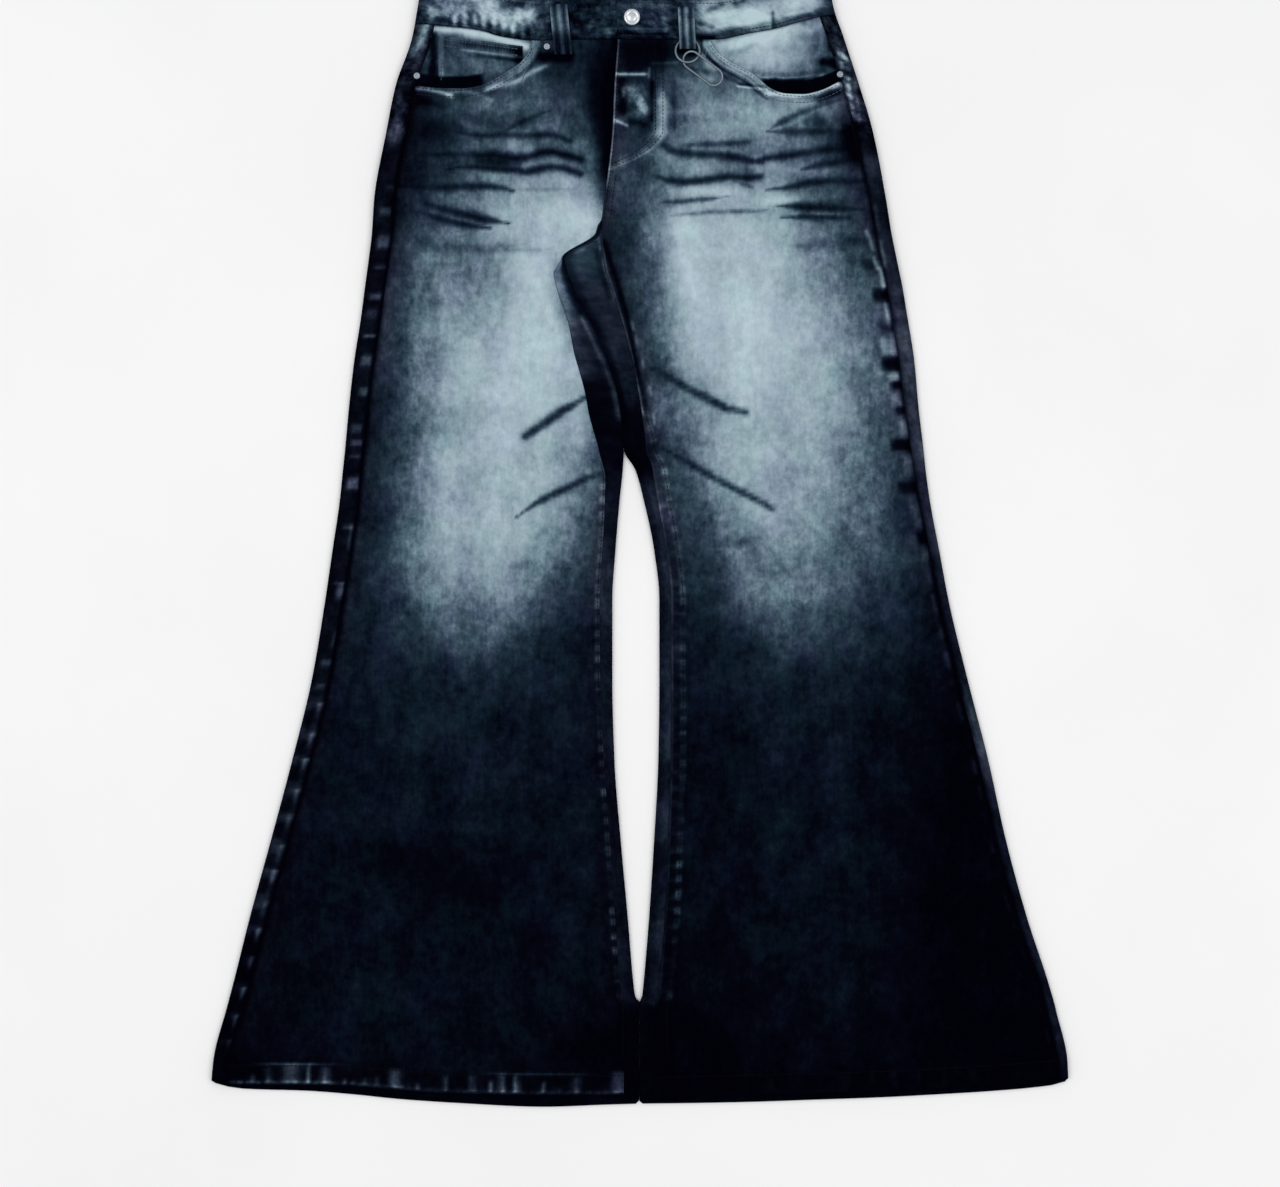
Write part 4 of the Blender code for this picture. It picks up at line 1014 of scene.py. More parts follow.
def front_grid(side):
    """x, down and hem of every grid point."""
    def lean(down):
        """x of the columns at a distance from the top."""
        return side_line(side, down) * (1 - SPREAD) + inner_line(side, down) * SPREAD

    # Halving finds where each column meets the top edge.
    low, high = np.full(len(SPREAD), 40.0), np.full(len(SPREAD), 133.0)
    for _ in range(40):
        middle = (low + high) / 2
        above = middle < opening_edge(side, lean(middle))
        low, high = np.where(above, middle, low), np.where(above, high, middle)
    first = (low + high) / 2
    hem = FRONT_HEM[side](lean(1080.0))
    straight = ROWS[:, None]
    down = np.where(straight < 160, first + (160 - first) * (straight - 66) / 94, straight)
    down = np.where(straight > 1040, 1040 + (hem - 1040) * (straight - 1040) / 40, down)
    return lean(down), down, hem


print("points of a front:", len(ROWS) * len(SPREAD))

# %% Wear along the seams of a front


def stitch_inset(side, down):
    """How far in from the inseam the stitched column of a front lies."""
    return 1.8 + (9.7 * grow(down, 400, 90) if side > 0 else 0 * down)


def seam_tone(side, x, down):
    """Wear along the side seam and inseam of a front."""
    from_side = np.abs(x - side_line(side, down))
    from_in = np.abs(x - inner_line(side, down))
    add = -0.14 * bell(from_side, 2.8)
    if side < 0:
        add -= 0.08 * bell(from_side, 8.0) * wane(down, 240, 40)
    if side > 0:
        add += seam_wear(1, from_side, down)
        beside = bell(from_side - 5, 3.0)
        add += 0.16 * ticks(down, 26.0, 7) * beside * grow(down, 560, 40)
    low = ease((down - (470 if side < 0 else 385)) / 50)
    inset = stitch_inset(side, down)
    fade = legs_apart(down)
    uneven = 0.75 + 0.25 * np.sin(down / 23.0 + side)
    dots = (0.04 + 0.28 * ticks(down, 14.0, 11 + side, 0.3, 0.7) * uneven) * fade
    add += dots * plateau(from_in - inset, 3.4) * low
    add -= 0.05 * bell(from_in - inset, 6.0) * low * (1 - dots / 0.35)
    if side > 0:
        # A flat-felled seam: a thin line at its edge, and rungs where the stitching draws it in.
        rung = ticks(down, 15.0, 17, 0.15, 0.4) * grow(from_in, 1, 2) * wane(from_in, 12, 2)
        line = 0.2 * (0.5 + 0.5 * ticks(down, 70.0, 5, 0.5, 0.9)) * bell(from_in - 0.9, 1.2)
        add += (0.1 * rung + line) * grow(down, 480, 40) * fade
    return add


print("stitches in from the right inseam: %.1f mm" % stitch_inset(1, 600))

# %% Roping of the hems
# Pale bars of the left hem: x, half width, height above the hem, tone.
HEM_BARS = (
    (-371.2, 2.7, 12, 0.2), (-356.4, 4, 18, 0.24), (-334.3, 9, 21, 0.34), (-318.1, 2.4, 21, 0.42),
    (-301.9, 4.5, 19, 0.36), (-283.2, 2.2, 8, 0.22), (-274.2, 2.2, 7, 0.24), (-262.9, 3, 9, 0.22),
    (-251.7, 2.2, 12, 0.2), (-234.4, 6, 21, 0.36), (-212.7, 2.2, 9, 0.2), (-187, 2.1, 18, 0.36),
    (-160.5, 2.5, 19, 0.3), (-143.2, 2.1, 14, 0.34), (-132, 3.4, 21, 0.34), (-118.3, 3, 20, 0.44),
    (-92.5, 2.4, 14, 0.36), (-78.4, 2, 9, 0.2), (-60.4, 4.5, 18, 0.3), (-17.5, 9.6, 24, 0.4),
)


def hem_tone(side, x, from_hem):
    """Roping of the hem: uneven pale bars on the left leg, hardly any on the right."""
    if side < 0:
        rope = np.zeros(np.broadcast(x, from_hem).shape)
        for at, half, tall, pale in HEM_BARS:
            rise = grow(from_hem, 1, 2) * wane(from_hem - tall, -4, 6)
            rope += (1.15 - 0.02 * from_hem) * pale * rise * np.exp(-((np.abs(x - at) / half) ** 3))
        line = plateau(x + 330, 38) + 0.7 * plateau(x + 98, 48)
        edge = 0.28 * line * bell(from_hem - 20.0, 1.3)
        foot = 0.36 * (1 - 0.45 * grow(x, -310, 30)) * (0.4 + 0.6 * ticks(x, 9.0, 41, 0.4, 0.8))
        foot = foot * bell(from_hem - 2.4, 2.0)
        return rope + edge + foot - 0.03 * bell(from_hem - 12, 8)
    rope = ticks(x + 0.15 * from_hem, 24.0, 31, 0.1, 0.4) * (0.4 + 0.6 * grow(x, 120, 200))
    return grow(from_hem, 2, 3) * wane(from_hem, 14, 7) * (0.14 * rope - 0.03)


print("bars of the left hem:", len(HEM_BARS))

# %% Wear over the fly and the pocket openings
# x, down, half width, half height, tone added.
FLY_SPOTS = (
    (-20, 145, 7, 4, 0.24), (-8, 163, 14, 10, 0.08), (12, 160, 7, 12, 0.08), (12, 176, 18, 6, 0.12),
    (-18, 182, 6, 16, 0.1), (-14, 134, 6, 8, -0.1),
)


def fly_tone(x, down):
    """Wear over the fly: the zip and its stops press through, and the J of stitching is paler."""
    add = spots(x, down, FLY_SPOTS)
    edge = np.abs(x - FLY(np.minimum(down, FLY_END)))
    add += 0.16 * bell(edge - 1.0, 2.2) * (down < 192) * grow(down, 118, 14)
    fold = np.abs(x - IN[1](down))
    add += 0.34 * bell(fold - 1.0, 1.1)
    return add * wane(down, 195, 20)


def pocket_tone(side, x, down):
    """The opening's stitched band, its pale ridges and its worn edge, left out where the opening gapes.
    """
    near = pocket_near(side, x, down)
    gape = grow(x, -140, -12) if side < 0 else grow(x, 118, 12)
    band = 0.19 * plateau(near - 5, 5.0) + 0.1 * bell(near - 1.5, 1.3)
    band = band - (0.14 if side < 0 else 0.32) * bell(near - 10.2, 1.7)
    band = band - 0.12 * bell(near - 5, 1.3) * (side > 0)
    return band * (1 - gape) * (down < 150)


print("spots over the fly:", len(FLY_SPOTS))

# %% Make the fronts


def make_front(side, word):
    """Shell of one front, dyed, with painted shade in its creases and where other parts shade it."""
    x, down, hem = front_grid(side)
    top = front_top(side, x, down) - 0.35 * bell(np.abs(x - side_line(side, down)), 1.6)
    tone = leg_tone(side, x, down)
    # Creases darken the tone: dye unwashed in the fold, and painted shade of the trough.
    tone += (0.13 - tone) * crease_field(x, down, 1) + seam_tone(side, x, down)
    tone += hem_tone(side, x, hem - down) + pocket_tone(side, x, down)
    tone += marks(f"front_{word}", x, down)
    if side > 0:
        tone = tone + fly_tone(x, down) * (x < 40) * (down < 215)
    else:
        # The shadow that the overlapping front throws on the other one.
        tone = tone - 0.2 * bell(x - IN[-1](down), 7.0) * wane(down, 215, 25)
    outer = stack(x, down, top)
    inner = stack(x, down, top - wall(down, FRONT_HEM[side](x)))
    uv = stack(x, -down) / 1000
    from_in = np.abs(x - inner_line(side, down)) + (60 * wane(down, 460, 40) if side < 0 else 0)
    near = np.minimum(np.abs(x - side_line(side, down)), from_in)
    violet = np.maximum(bell(near, 13), ease((HEM_HEIGHT + 4 - (hem - down)) / 8))
    mottle = 0.5 * oval(x + 1, 20, down - 126, 18) * (side > 0)
    cloth_shell(f"front_{word}", outer, inner, tone, uv, f"front_panel_{word}", mottle, 0.8 * violet)


for side, word in SIDES:
    make_front(side, word)

# %% [markdown]
# ## Back panels and yokes
#
# The back is wider than the front, so it comes round both folds and shows as a strip along each
# edge. Going round: strip by the side seam, outer fold, underside, inner fold, strip by the
# inseam. The yokes are cut from the same wrap, above a seam that dips to the centre back.

# %% The wrap
# Its parts, and the number of columns in each.
WRAP = (("strip_side", 9), ("fold_out", 8), ("under", 30), ("fold_in", 8), ("strip_inseam", 12))


def wrap_point(side, part, t, down, hem):
    """x, z and outward direction on the outer face of the wrap."""
    top, low = rim(down, hem), lift(down)
    radius = (top - low) / 2
    out = OUT[side](down)
    # The legs press together at the crotch, so their folds meet there.
    press = 0.3 * grow(down, 250, 6) * wane(down, 440, 15)
    inner = IN[side](down) + side * (SEAM / 2 - press)
    crotch = below_crotch(down)
    small = radius * crotch + 1.9 * (1 - crotch)
    zero, one = np.zeros_like(down), np.ones_like(down)
    if part == "strip_side":
        return out - side * (SIDE[side](down) * (1 - t) + radius * t), top, zero, one
    if part == "fold_out":
        angle = math.pi * (0.5 - t)
        nx, nz = side * math.cos(angle) * one, math.sin(angle) * one
        return out - side * radius + radius * nx, (top + low) / 2 + radius * nz, nx, nz
    if part == "under":
        return (out - side * radius) * (1 - t) + (inner + side * small) * t, low, zero, -one
    angle = -math.pi / 2 - math.pi / 2 * (1 + crotch) * (t if part == "fold_in" else 1.0)
    nx, nz = side * np.cos(angle), np.sin(angle)
    x, z = inner + side * small + small * nx, low + small + small * nz
    if part == "fold_in":
        return x, z, nx, nz
    run = np.maximum(INSEAM[side](down) - radius, 0.5) * t
    return x + run * nz * side, z - run * nx * side, nx, nz


def wrap_hem(side, part, t, x):
    """Where the hem lies: the back's is lower than the front's."""
    share = {"fold_out": t, "under": 1.0, "fold_in": 1 - t}.get(part, 0.0)
    return FRONT_HEM[side](x) * (1 - share) + BACK_HEM[side](x) * share


print("columns round a back:", sum(count for _, count in WRAP) + 1)

# %% [markdown]
# ### Wear of the wrap
#
# A jeans side seam ropes: the cloth twists a little at each stitch, and the wash bleaches the high
# turns. Inside the inseam the strip is dark, because the legs rub there only at the thigh.

# %% Wear along the side seams


def rope_strip(from_seam, down):
    """Roping outside the left side seam: each turn starts pale at the seam and dies away downwards."""
    turns = down / 38.0 + 0.0107 * np.maximum(down - 560, 0)
    k = np.floor(turns)
    share = turns - k + 0.2 * (dice(k, 4) - 0.5)
    strong = 0.5 + 0.5 * dice(k, 3)
    head = bell(share - 0.14, 0.1) * bell(from_seam, 11)
    tail = grow(share, 0.05, 0.1) * wane(share, 0.3, 0.45)
    tail = tail * bell(from_seam - 4.5, 2.6)
    dark = grow(share, 0.3, 0.15) * wane(share, 0.85, 0.12)
    dark = dark * bell(from_seam - 11, 6)
    return strong * (0.16 * head + 0.26 * tail) - 0.12 * dark


# Tone of the right side strip, by down.
STRIP_RIGHT = smooth_curve((
    (0, 0.24), (90, 0.26), (150, 0.27), (180, 0.26), (220, 0.21), (265, 0.2), (300, 0.31), (345, 0.38),
    (385, 0.38), (420, 0.35), (460, 0.38), (500, 0.26), (540, 0.3), (580, 0.22), (620, 0.19),
    (660, 0.15), (700, 0.3), (740, 0.38), (780, 0.28), (820, 0.16), (860, 0.19), (900, 0.16),
    (950, 0.18), (1020, 0.18), (1090, 0.1),
))


def side_strip_tone(side, part, t, x, down):
    """Tone of the roped strip outside the side seam, and of the fold beside it."""
    from_seam = np.abs(x - side_line(side, down))
    if side < 0:
        lower = grow(down, 690, 12)
        upper_rope = seam_wear(-1, from_seam - 2.2, down)
        rope = (1 - lower) * upper_rope + 1.2 * lower * rope_strip(from_seam, down)
        over = 1 if part == "strip_side" else 1 - ease(1.6 * t)
        tone = 0.11 + 0.06 * wane(down, 130, 60) + rope * over
        tone = tone + 0.09 * lower * wane(down, 905, 25) - 0.05 * grow(down, 925, 15)
        tone = tone * (1 - 0.7 * grow(down, 1000, 60)) - 0.04 * grow(from_seam, 14, 5)
        tone = tone + marks("strip_left", x, down) + 0.06 * wane(down, 60, 60)
    else:
        tone = STRIP_RIGHT(down) + 0.03 * np.sin(down / 23.0) * np.sin(down / 9.0)
        tone = tone + marks("strip_right", x, down) - 0.06 * grow(from_seam, 9, 5)
    return tone - 0.15 * bell(from_seam, 2.6) * (part == "strip_side")


print("tone of the right strip at the knee: %.2f" % STRIP_RIGHT(600))

# %% Wear along the inseams and underneath


def inseam_strip_tone(side, part, t, x, down):
    """Tone of the strip inside the inseam, and of the fold beside it."""
    up = t if part == "strip_inseam" else 0.0
    if side > 0:
        tone = 0.3 - 0.08 * grow(down, 300, 50) - 0.2 * grow(down, 380, 70)
        tone = tone - 0.14 * (1 - ease(3 * up)) * wane(down, 460, 40)
        streak = 0.12 * dice(np.floor(down / 38), 6) + 0.08 * ease(1.4 * up)
        tone = tone + (0.06 + streak) * grow(down, 470, 30) * legs_apart(down)
        return tone + marks("inseam_right", x, down)
    tone = 0.12 + (0.36 - 0.16 * grow(down, 310, 40)) * ease(1.5 * up)
    gone = grow(down, 384, 16)
    tone = tone * (1 - gone) + 0.05 * gone + 0.12 * grow(down, 470, 40)
    tone = tone + 0.09 * bell(down - 595, 40) + 0.06 * bell(down - 940, 16)
    low_fold = grow(down, 325, 20) * wane(down, 425, 30)
    tone = tone + 0.05 * (1 - ease(2.2 * up)) * low_fold + marks("inseam_left", x, down)
    tone = tone + 0.12 * bell(down - 298, 14) * ease(1.6 * up)
    tone = tone + 0.12 * ease(2 * up - 1) * wane(down, 345, 30) * grow(down, 290, 20)
    return tone - 0.04 * grow(down, 740, 60) - 0.12 * grow(down, 990, 14)


def under_tone(side, t, x, down):
    """Tone of the underside: faded over the seat and thighs, with creases; dark at the hem."""
    across = np.sin(math.pi * np.clip(t, 0, 1)) ** 0.8
    seat = 0.42 * bell(down - 240, 150) + 0.3 * bell(down - 470, 120)
    knee = 0.1 * bell(down - 640, 90)
    # The yoke seam and the centre-back seam wear pale beside their stitches.
    from_yoke, from_centre = np.abs(down - YOKE(x)), np.abs(x - IN[side](down))
    sewn = 0.16 * bell(from_yoke - 3.5, 1.8) - 0.1 * bell(from_yoke, 1.4)
    sewn = sewn + 0.12 * bell(from_centre - 5, 2.0) * wane(down, 245, 10)
    tone = 0.15 + across * (seat + knee) - 0.06 * grow(down, 700, 300) + sewn
    tone = tone * (1 - 0.8 * grow(down, 1050, 20))
    # Creases darken it too: dye unwashed in the fold, and painted shade of the trough.
    return tone + (0.12 - tone) * crease_field(x, down, 1, BACK_CREASES)


def strip_tone(side, part, t, x, down):
    if part in ("strip_side", "fold_out"):
        return side_strip_tone(side, part, t, x, down)
    if part == "under":
        return under_tone(side, t, x, down)
    return inseam_strip_tone(side, part, t, x, down)


def strip_cast(side, part, down):
    """How violet the wrap is: most along the side seams, not at all underneath."""
    if part in ("strip_side", "fold_out"):
        return 0.85 + 0 * down
    if part == "under":
        return 0 * down
    return 0.8 * grow(down, 315, 30) if side < 0 else 0.7 * grow(down, 285, 30)


print("violet cast of the left inseam: %.2f" % strip_cast(-1, "strip_inseam", 600.0))

# %% Make the backs and yokes


def wrap_shell(name, side, first_of, last_of, row_count, node_name):
    """Shell of the wrap between two edges; first_of and last_of give down for (part, t, x)."""
    columns = []
    run, before = 0.0, None
    share = np.linspace(0, 1, row_count)
    for part, count in WRAP:
        for i in range(0 if part == "strip_side" else 1, count + 1):
            t = i / count
            x = np.full(row_count, float(wrap_point(side, part, t, np.array([600.0]), 1080.0)[0][0]))
            # The edges depend on x and x depends on down, so both are found in a few turns.
            for _ in range(5):
                down = first_of(part, t, x) * (1 - share) + last_of(part, t, x) * share
                hem = wrap_hem(side, part, t, x)
                x, z, nx, nz = wrap_point(side, part, t, down, hem)
            if part == "under":
                z = z + crease_field(x, down, 2, BACK_CREASES)
            cloth = wall(down, hem)
            if before is not None:
                run = run + float(np.mean(np.hypot(x - before[0], z - before[1])))
            before = (x, z)
            blot = 0.55 * wane(down, 150, 20) * (part in ("strip_side", "fold_out"))
            columns.append((
                stack(x, down, z), stack(x - nx * cloth, down, z - nz * cloth),
                strip_tone(side, part, t, x, down),
                stack(np.full(row_count, run * side) + 700 * side, -down) / 1000,
                blot, strip_cast(side, part, down),
            ))
    outer, inner, tone, uv, mottle, violet = (np.array(grid).swapaxes(0, 1) for grid in zip(*columns))
    cloth_shell(name, outer, inner, tone, uv, node_name, mottle, violet)


def waist_of(part, t, x):
    """Top edge of a yoke: the front's waist seam on the upper side, the back's underneath."""
    upper = part == "strip_side" or (part == "fold_out" and t < 0.5)
    return (FRONT_WAIST(x) if upper else BACK_WAIST(x)) + BAND_GAP


for side, word in SIDES:
    wrap_shell(
        f"back_{word}", side, lambda part, t, x: YOKE(x) + SEAM / 2,
        lambda part, t, x, side=side: wrap_hem(side, part, t, x), 330, f"back_panel_{word}",
    )
    wrap_shell(
        f"yoke_piece_{word}", side, waist_of, lambda part, t, x: YOKE(x) - SEAM / 2, 26, f"yoke_{word}",
    )

# %% [markdown]
# ## Pockets
#
# The pocket facing is the piece of denim seen inside the opening; it is pale where a hand rubs it,
# and unwashed where the front covers it. Where the opening gapes, a strip along its edge is painted
# dark as the shade inside the pocket. The coin pocket lies on the left one. The back pockets are
# plain patches with a turned top edge.

# %% Pocket facings


def make_facing(side, word):
    """The hip piece that shows in a pocket opening."""
    spread, share = np.linspace(0, 1, 60)[None], np.linspace(0, 1, 36)[:, None]
    end = POCKET_START[side] - side * POCKET_UNDER
    x = np.full((36, 60), end) + 0.0 * spread
    for _ in range(8):
        first = FRONT_WAIST(x) + BAND_GAP
        inside = np.where((x - POCKET_START[side]) * side > 0, x, POCKET_START[side])
        last = POCKET[side](inside) + POCKET_UNDER
        down = first * (1 - share) + last * share
        x = side_line(side, down) * (1 - spread) + end * spread
    z = rim(down, NO_HEM)
    to_edge = last - POCKET_UNDER - down
    if side < 0:
        tone = 0.4 + 0.22 * bell(down - FRONT_WAIST(x) - 4, 6) * grow(x, -206, 20)
        # Painted shade where the opening gapes, on cloth left unwashed under the front.
        tone = tone - 0.6 * grow(x, -146, -10) * wane(to_edge, 9, 4)
    else:
        tone = 0.5 + 0.4 * oval(x - 118, 50, down - 72, 34)
        # Painted shade where the opening gapes, on cloth left unwashed under the front.
        gape = (7.5 + 5 * bell(x - 156, 30)) * grow(x, 114, 17)
        tone = tone - 0.72 * grow(x, 114, 8) * (1 - ease((to_edge - gape) / 4))
        tone = tone - 0.24 * bell(x - 190, 8)
    outer = stack(x, down, z)
    uv = stack(x + 40, -down + 900) / 1000
    cloth_shell(
        f"pocket_piece_{word}", outer, outer - [0, 0, CLOTH], tone + marks(f"facing_{word}", x, down), uv,
        f"pocket_facing_{word}", mottle=0.04,
    )


for side, word in SIDES:
    make_facing(side, word)

# %% Flat patches


def flat_patch(name, x, down, z, tone, node_name, shift, up=1):
    """A flat piece of one layer; up is -1 for a piece that faces down."""
    outer = stack(x, down, z + 0 * x)
    uv = stack(x + shift[0], -down + shift[1]) / 1000
    cloth_shell(name, outer, outer - [0, 0, up * CLOTH], tone, uv, node_name)


def pale_edges(tone):
    """Adds pale wear along all four edges of a small piece."""
    rows, cols = tone.shape
    r = np.minimum(np.arange(rows), rows - 1 - np.arange(rows))[:, None]
    c = np.minimum(np.arange(cols), cols - 1 - np.arange(cols))[None]
    return tone + 0.16 * bell(np.minimum(r, c), 1.6)


print("wear at the corner of a patch: %.2f" % pale_edges(np.zeros((3, 3)))[0, 0])

# %% Coin pocket


def coin_top(x):
    """Top edge of the coin pocket, which slants."""
    return 63 + 0.13 * (x + 193)


x = np.linspace(-193, -112, 60)[None] + np.zeros((44, 1))
share = np.linspace(0, 1, 44)[:, None]
down = coin_top(x) * (1 - share) + (POCKET[-1](x) + 6) * share
depth = down - coin_top(x)
tone = 0.4 + 0.14 * oval(x + 150, 26, depth - 24, 9)
dots = 0.4 + 0.6 * np.sin(x * 1.15) ** 2
beside = grow(x, -176, 10)
tone = tone + 0.1 * bell(depth, 1.6) - 0.24 * dots * bell(depth - 4.6, 2.4) * beside
tone = tone + 0.22 * bell(depth - 10.8, 1.5) * beside
tone = tone - 0.2 * bell(depth - 14.4, 1.9) * grow(x, -170, 30)
# Painted shade of the gaping pocket opening, carried across the coin pocket.
tone = tone - 0.55 * grow(x, -146, -10) * wane(POCKET[-1](x) - down, 9, 4)
tone = tone - 0.4 * oval(x + 115, 7, depth - 9, 9)
tone = tone + 0.14 * bell(x + 190, 2.0)
flat_patch("coin_patch", x, down, rim(down, NO_HEM) + PATCH, tone, "coin_pocket", (300, 300))

# %% Fly facing
# The overlapping front hides it.
down = np.array([69, 85, 100, 115, 130, 142, 152, 163, 173, 180.0])[:, None] + np.zeros((1, 12))
share = np.linspace(0, 1, 12)[None]
x = (IN[1](down) + 1) * (1 - share) + (FLY(down) - 1) * share
flat_patch("fly_piece", x, down, rim(down, NO_HEM), 0.12 + 0 * x, "fly_facing", (500, 500))

# %% Back pockets
# The shell faces down, so its outer face is the lower one.
BACK_POCKETS = {"left": -132.0, "right": 98.0}      # x of the middle
BACK_HALF, BACK_TOP, BACK_POINT, BACK_CORNER = 66, 138, 290, 22
for word, middle in BACK_POCKETS.items():
    x = middle + np.linspace(-BACK_HALF, BACK_HALF, 54)[None] + np.zeros((60, 1))
    share = np.linspace(0, 1, 60)[:, None]
    low = BACK_POINT - BACK_CORNER * np.abs(x - middle) / BACK_HALF
    down = BACK_TOP * (1 - share) + low * share
    tone = 0.4 + 0.16 * oval(x - middle, 34, down - 215, 46)
    tone = pale_edges(tone) - 0.12 * bell(down - 152, 2.0)
    flat_patch(f"back_patch_{word}", x, down, 0.0, tone, f"back_pocket_{word}", (1500, 0), -1)

# %% [markdown]
# ## Waistband
#
# One strip of denim, folded lengthwise and sewn round the top. It starts under the fly, goes round
# the back, and laps over its own start, where the button closes it.

# %% Path round the band
BAND_START, BAND_END = 15, -21.6     # x of the end that lies underneath and of the one on top


def band_face(x, laps):
    """Height of the band's outer face in front, on its under end or on the end that laps over."""
    if laps:
        share, height = grow(x, 34, -16), BAND_OVER
    else:
        share, height = grow(x, -45, 15), BAND_UNDER
    return BAND_TOP * (1 - share) + height * share


def band_stops():
    """Stops round the band: part, x and height where it is flat, and turn in half circles."""
    stops = [("front", x, band_face(x, False), 0.5) for x in np.linspace(BAND_START, -200, 130)]
    stops += [("left", 0.0, 0.0, 0.5 - share) for share in np.linspace(0, 1, 10)]
    stops += [("back", x, HIP_LIFT, -0.5) for x in np.linspace(-195, 168, 70)]
    stops += [("right", 0.0, 0.0, share - 0.5) for share in np.linspace(0, 1, 10)]
    return stops + [("front", x, band_face(x, True), 0.5) for x in np.linspace(172, BAND_END, 120)]


print("stops round the band:", len(band_stops()))

# %% Wear of the band
# Pale and dark places of the band in front: x, down, half width, half height, tone added.
BAND_PATCHES = (
    (-180, 24, 26, 10, 0.3), (-190, 44, 22, 8, 0.32), (-150, 30, 30, 12, 0.45),
    (-118, 46, 24, 12, 0.34), (-98, 34, 12, 20, 0.1), (-60, 46, 14, 18, -0.1), (-40, 50, 10, 16, -0.04),
    (-30, 40, 8, 12, 0.06), (10, 44, 10, 12, -0.04), (20, 40, 8, 14, 0.1), (28, 56, 8, 10, -0.06),
    (66, 42, 18, 18, 0.43), (100, 36, 24, 14, 0.42), (140, 24, 26, 14, 0.4), (165, 20, 16, 12, 0.26),
    (110, 52, 20, 8, 0.3), (60, 58, 10, 8, 0.1), (184, 30, 6, 20, -0.12), (-206, 34, 6, 20, 0.05),
    (110, 44, 70, 16, 0.2), (-146, 40, 24, 14, 0.16), (-200, 36, 14, 12, 0.1),
)


def band_tone(part, x, down, share):
    """Tone at one point of the band; share runs from its top edge to the seam."""
    if part != "front":
        return 0.34 if part == "back" else 0.24
    tone = 0.24 + float(spots(x, down, BAND_PATCHES)) + float(marks("band", x, down))
    # Pale bars above the seam on the left, one for every third stitch.
    bar = 0.5 + 0.5 * math.cos(2 * math.pi * (x + 176.8) / 9.3)
    here = grow(x, -98, -8) * grow(x, -190, 12) * plateau(share - 0.8, 0.18)
    tone += (0.36 * bar - 0.22) * here
    tone -= (0.14 if x < 48 else 0.04) * bell(share - 1.0, 0.05)
    return tone - 0.05 * bell(share - 0.9, 0.03)


print("patches of the band:", len(BAND_PATCHES))

# %% Make the waistband


def make_waistband():
    radius = (BAND_TOP - HIP_LIFT) / 2
    outer, inner, tones, uvs = [], [], [], []
    for share in np.linspace(0, 1, 25):
        line_out, line_in, line_tone, line_uv = [], [], [], []
        run, before = 0.0, None
        for part, x, z, turn in band_stops():
            nx, nz = 0.0, 1.0 if part == "front" else -1.0
            if part in ("front", "back"):
                seam = float(FRONT_WAIST(x) if part == "front" else BACK_WAIST(x))
            else:
                seam = 51.0 if part == "left" else 43.0
            down = seam - GAP / 2 - BAND_HEIGHT * (1 - share)
            if part in ("left", "right"):
                side = -1 if part == "left" else 1
                nx, nz = side * math.cos(math.pi * turn), math.sin(math.pi * turn)
                x = float(OUT[side](down)) - side * radius + radius * nx
                z = (BAND_TOP + HIP_LIFT) / 2 + radius * nz
            # The sewn edges are pressed thin and the middle stands a little proud.
            swell = 0.35 * (1 - (2 * share - 1) ** 8) if part == "front" else 0.0
            line_out.append((x, down, z + swell - 0.15))
            line_in.append((x - nx * BAND_CLOTH, down, z - nz * BAND_CLOTH))
            line_tone.append(band_tone(part, x, down, share))
            if before is not None:
                run += math.hypot(x - before[0], z - before[1])
            before = (x, z)
            line_uv.append((BAND_HEIGHT * share / 1000 + 3.0, run / 1000))
        outer.append(line_out)
        inner.append(line_in)
        tones.append(line_tone)
        uvs.append(line_uv)
    outer, inner = np.array(outer), np.array(inner)
    mottle = 0.5 - 0.36 * grow(outer[..., 0], 48, 20) * (outer[..., 2] > 5)
    cloth_shell("waist_strip", outer, inner, np.array(tones), np.array(uvs), "waistband", mottle)


make_waistband()

# %% [markdown]
# ## Belt loops
#
# A loop is a strip folded in three with two rows of stitching, bar-tacked at both ends. It bows
# away from the band in the middle; the right one stands further off, because a ring hangs in it.

# %% Loops
LOOP_UNDER = 7.75        # height of a front loop's inner face at its ends
LOOP_CLOTH = 1.6
FLAT_ARCH = ((0, 0), (1, 0))
LOOP_ARCH = ((0, 0), (0.1, 0), (0.3, 1.1), (0.7, 1.1), (0.9, 0), (1, 0))
LOOP_RING_ARCH = ((0, 0), (0.1, 0), (0.35, 2.0), (0.7, 4.1), (0.89, 4.1), (1, 0.2))
# x at the top and at the foot, down at the top and at the foot, width, arch.
LOOP_LEFT = (-78, -73, 33.6, 81.6, 17.0, LOOP_ARCH)
LOOP_RIGHT = (44.5, 46.3, 36.5, 76.5, 15.4, LOOP_RING_ARCH)


def make_loop(name, node_name, shape, under, cloth, pale, foot=0.0):
    """A belt loop; pale is the tone of its ridges, and foot how much darker its lower half is."""
    x_top, x_low, first, last, wide, arch = shape
    share = np.linspace(0, 1, 56)[:, None]
    across = np.linspace(-0.5, 0.5, 15)[None]
    down = first * (1 - share) + last * share + 0 * across
    x = x_top * (1 - share) + x_low * share + wide * across
    low = under + smooth_curve(arch)(share) + 0 * across
    # Three ridges: the folded edges and the middle stand up between the stitch rows.
    top = low + cloth + (0.35 * np.abs(np.cos(across * math.pi * 2)) - 0.2)
    tone = 0.24 + pale * (0.5 + 0.5 * np.cos(across * math.pi * 4)) + 0 * share
    tone = tone + 0.1 * bell(share - 0.5, 0.35) - 0.08 * bell(share, 0.06)
    tone = tone - foot * grow(share, 0.5, 0.16)
    uv = stack(x + 2500, -down) / 1000
    # A loop of the back lies on the table, so its outer face is the lower one.
    faces = (low, low + cloth) if under == 0.0 else (top, low)
    outer, inner = (stack(x, down, z) for z in faces)
    cloth_shell(name, outer, inner, tone, uv, node_name)


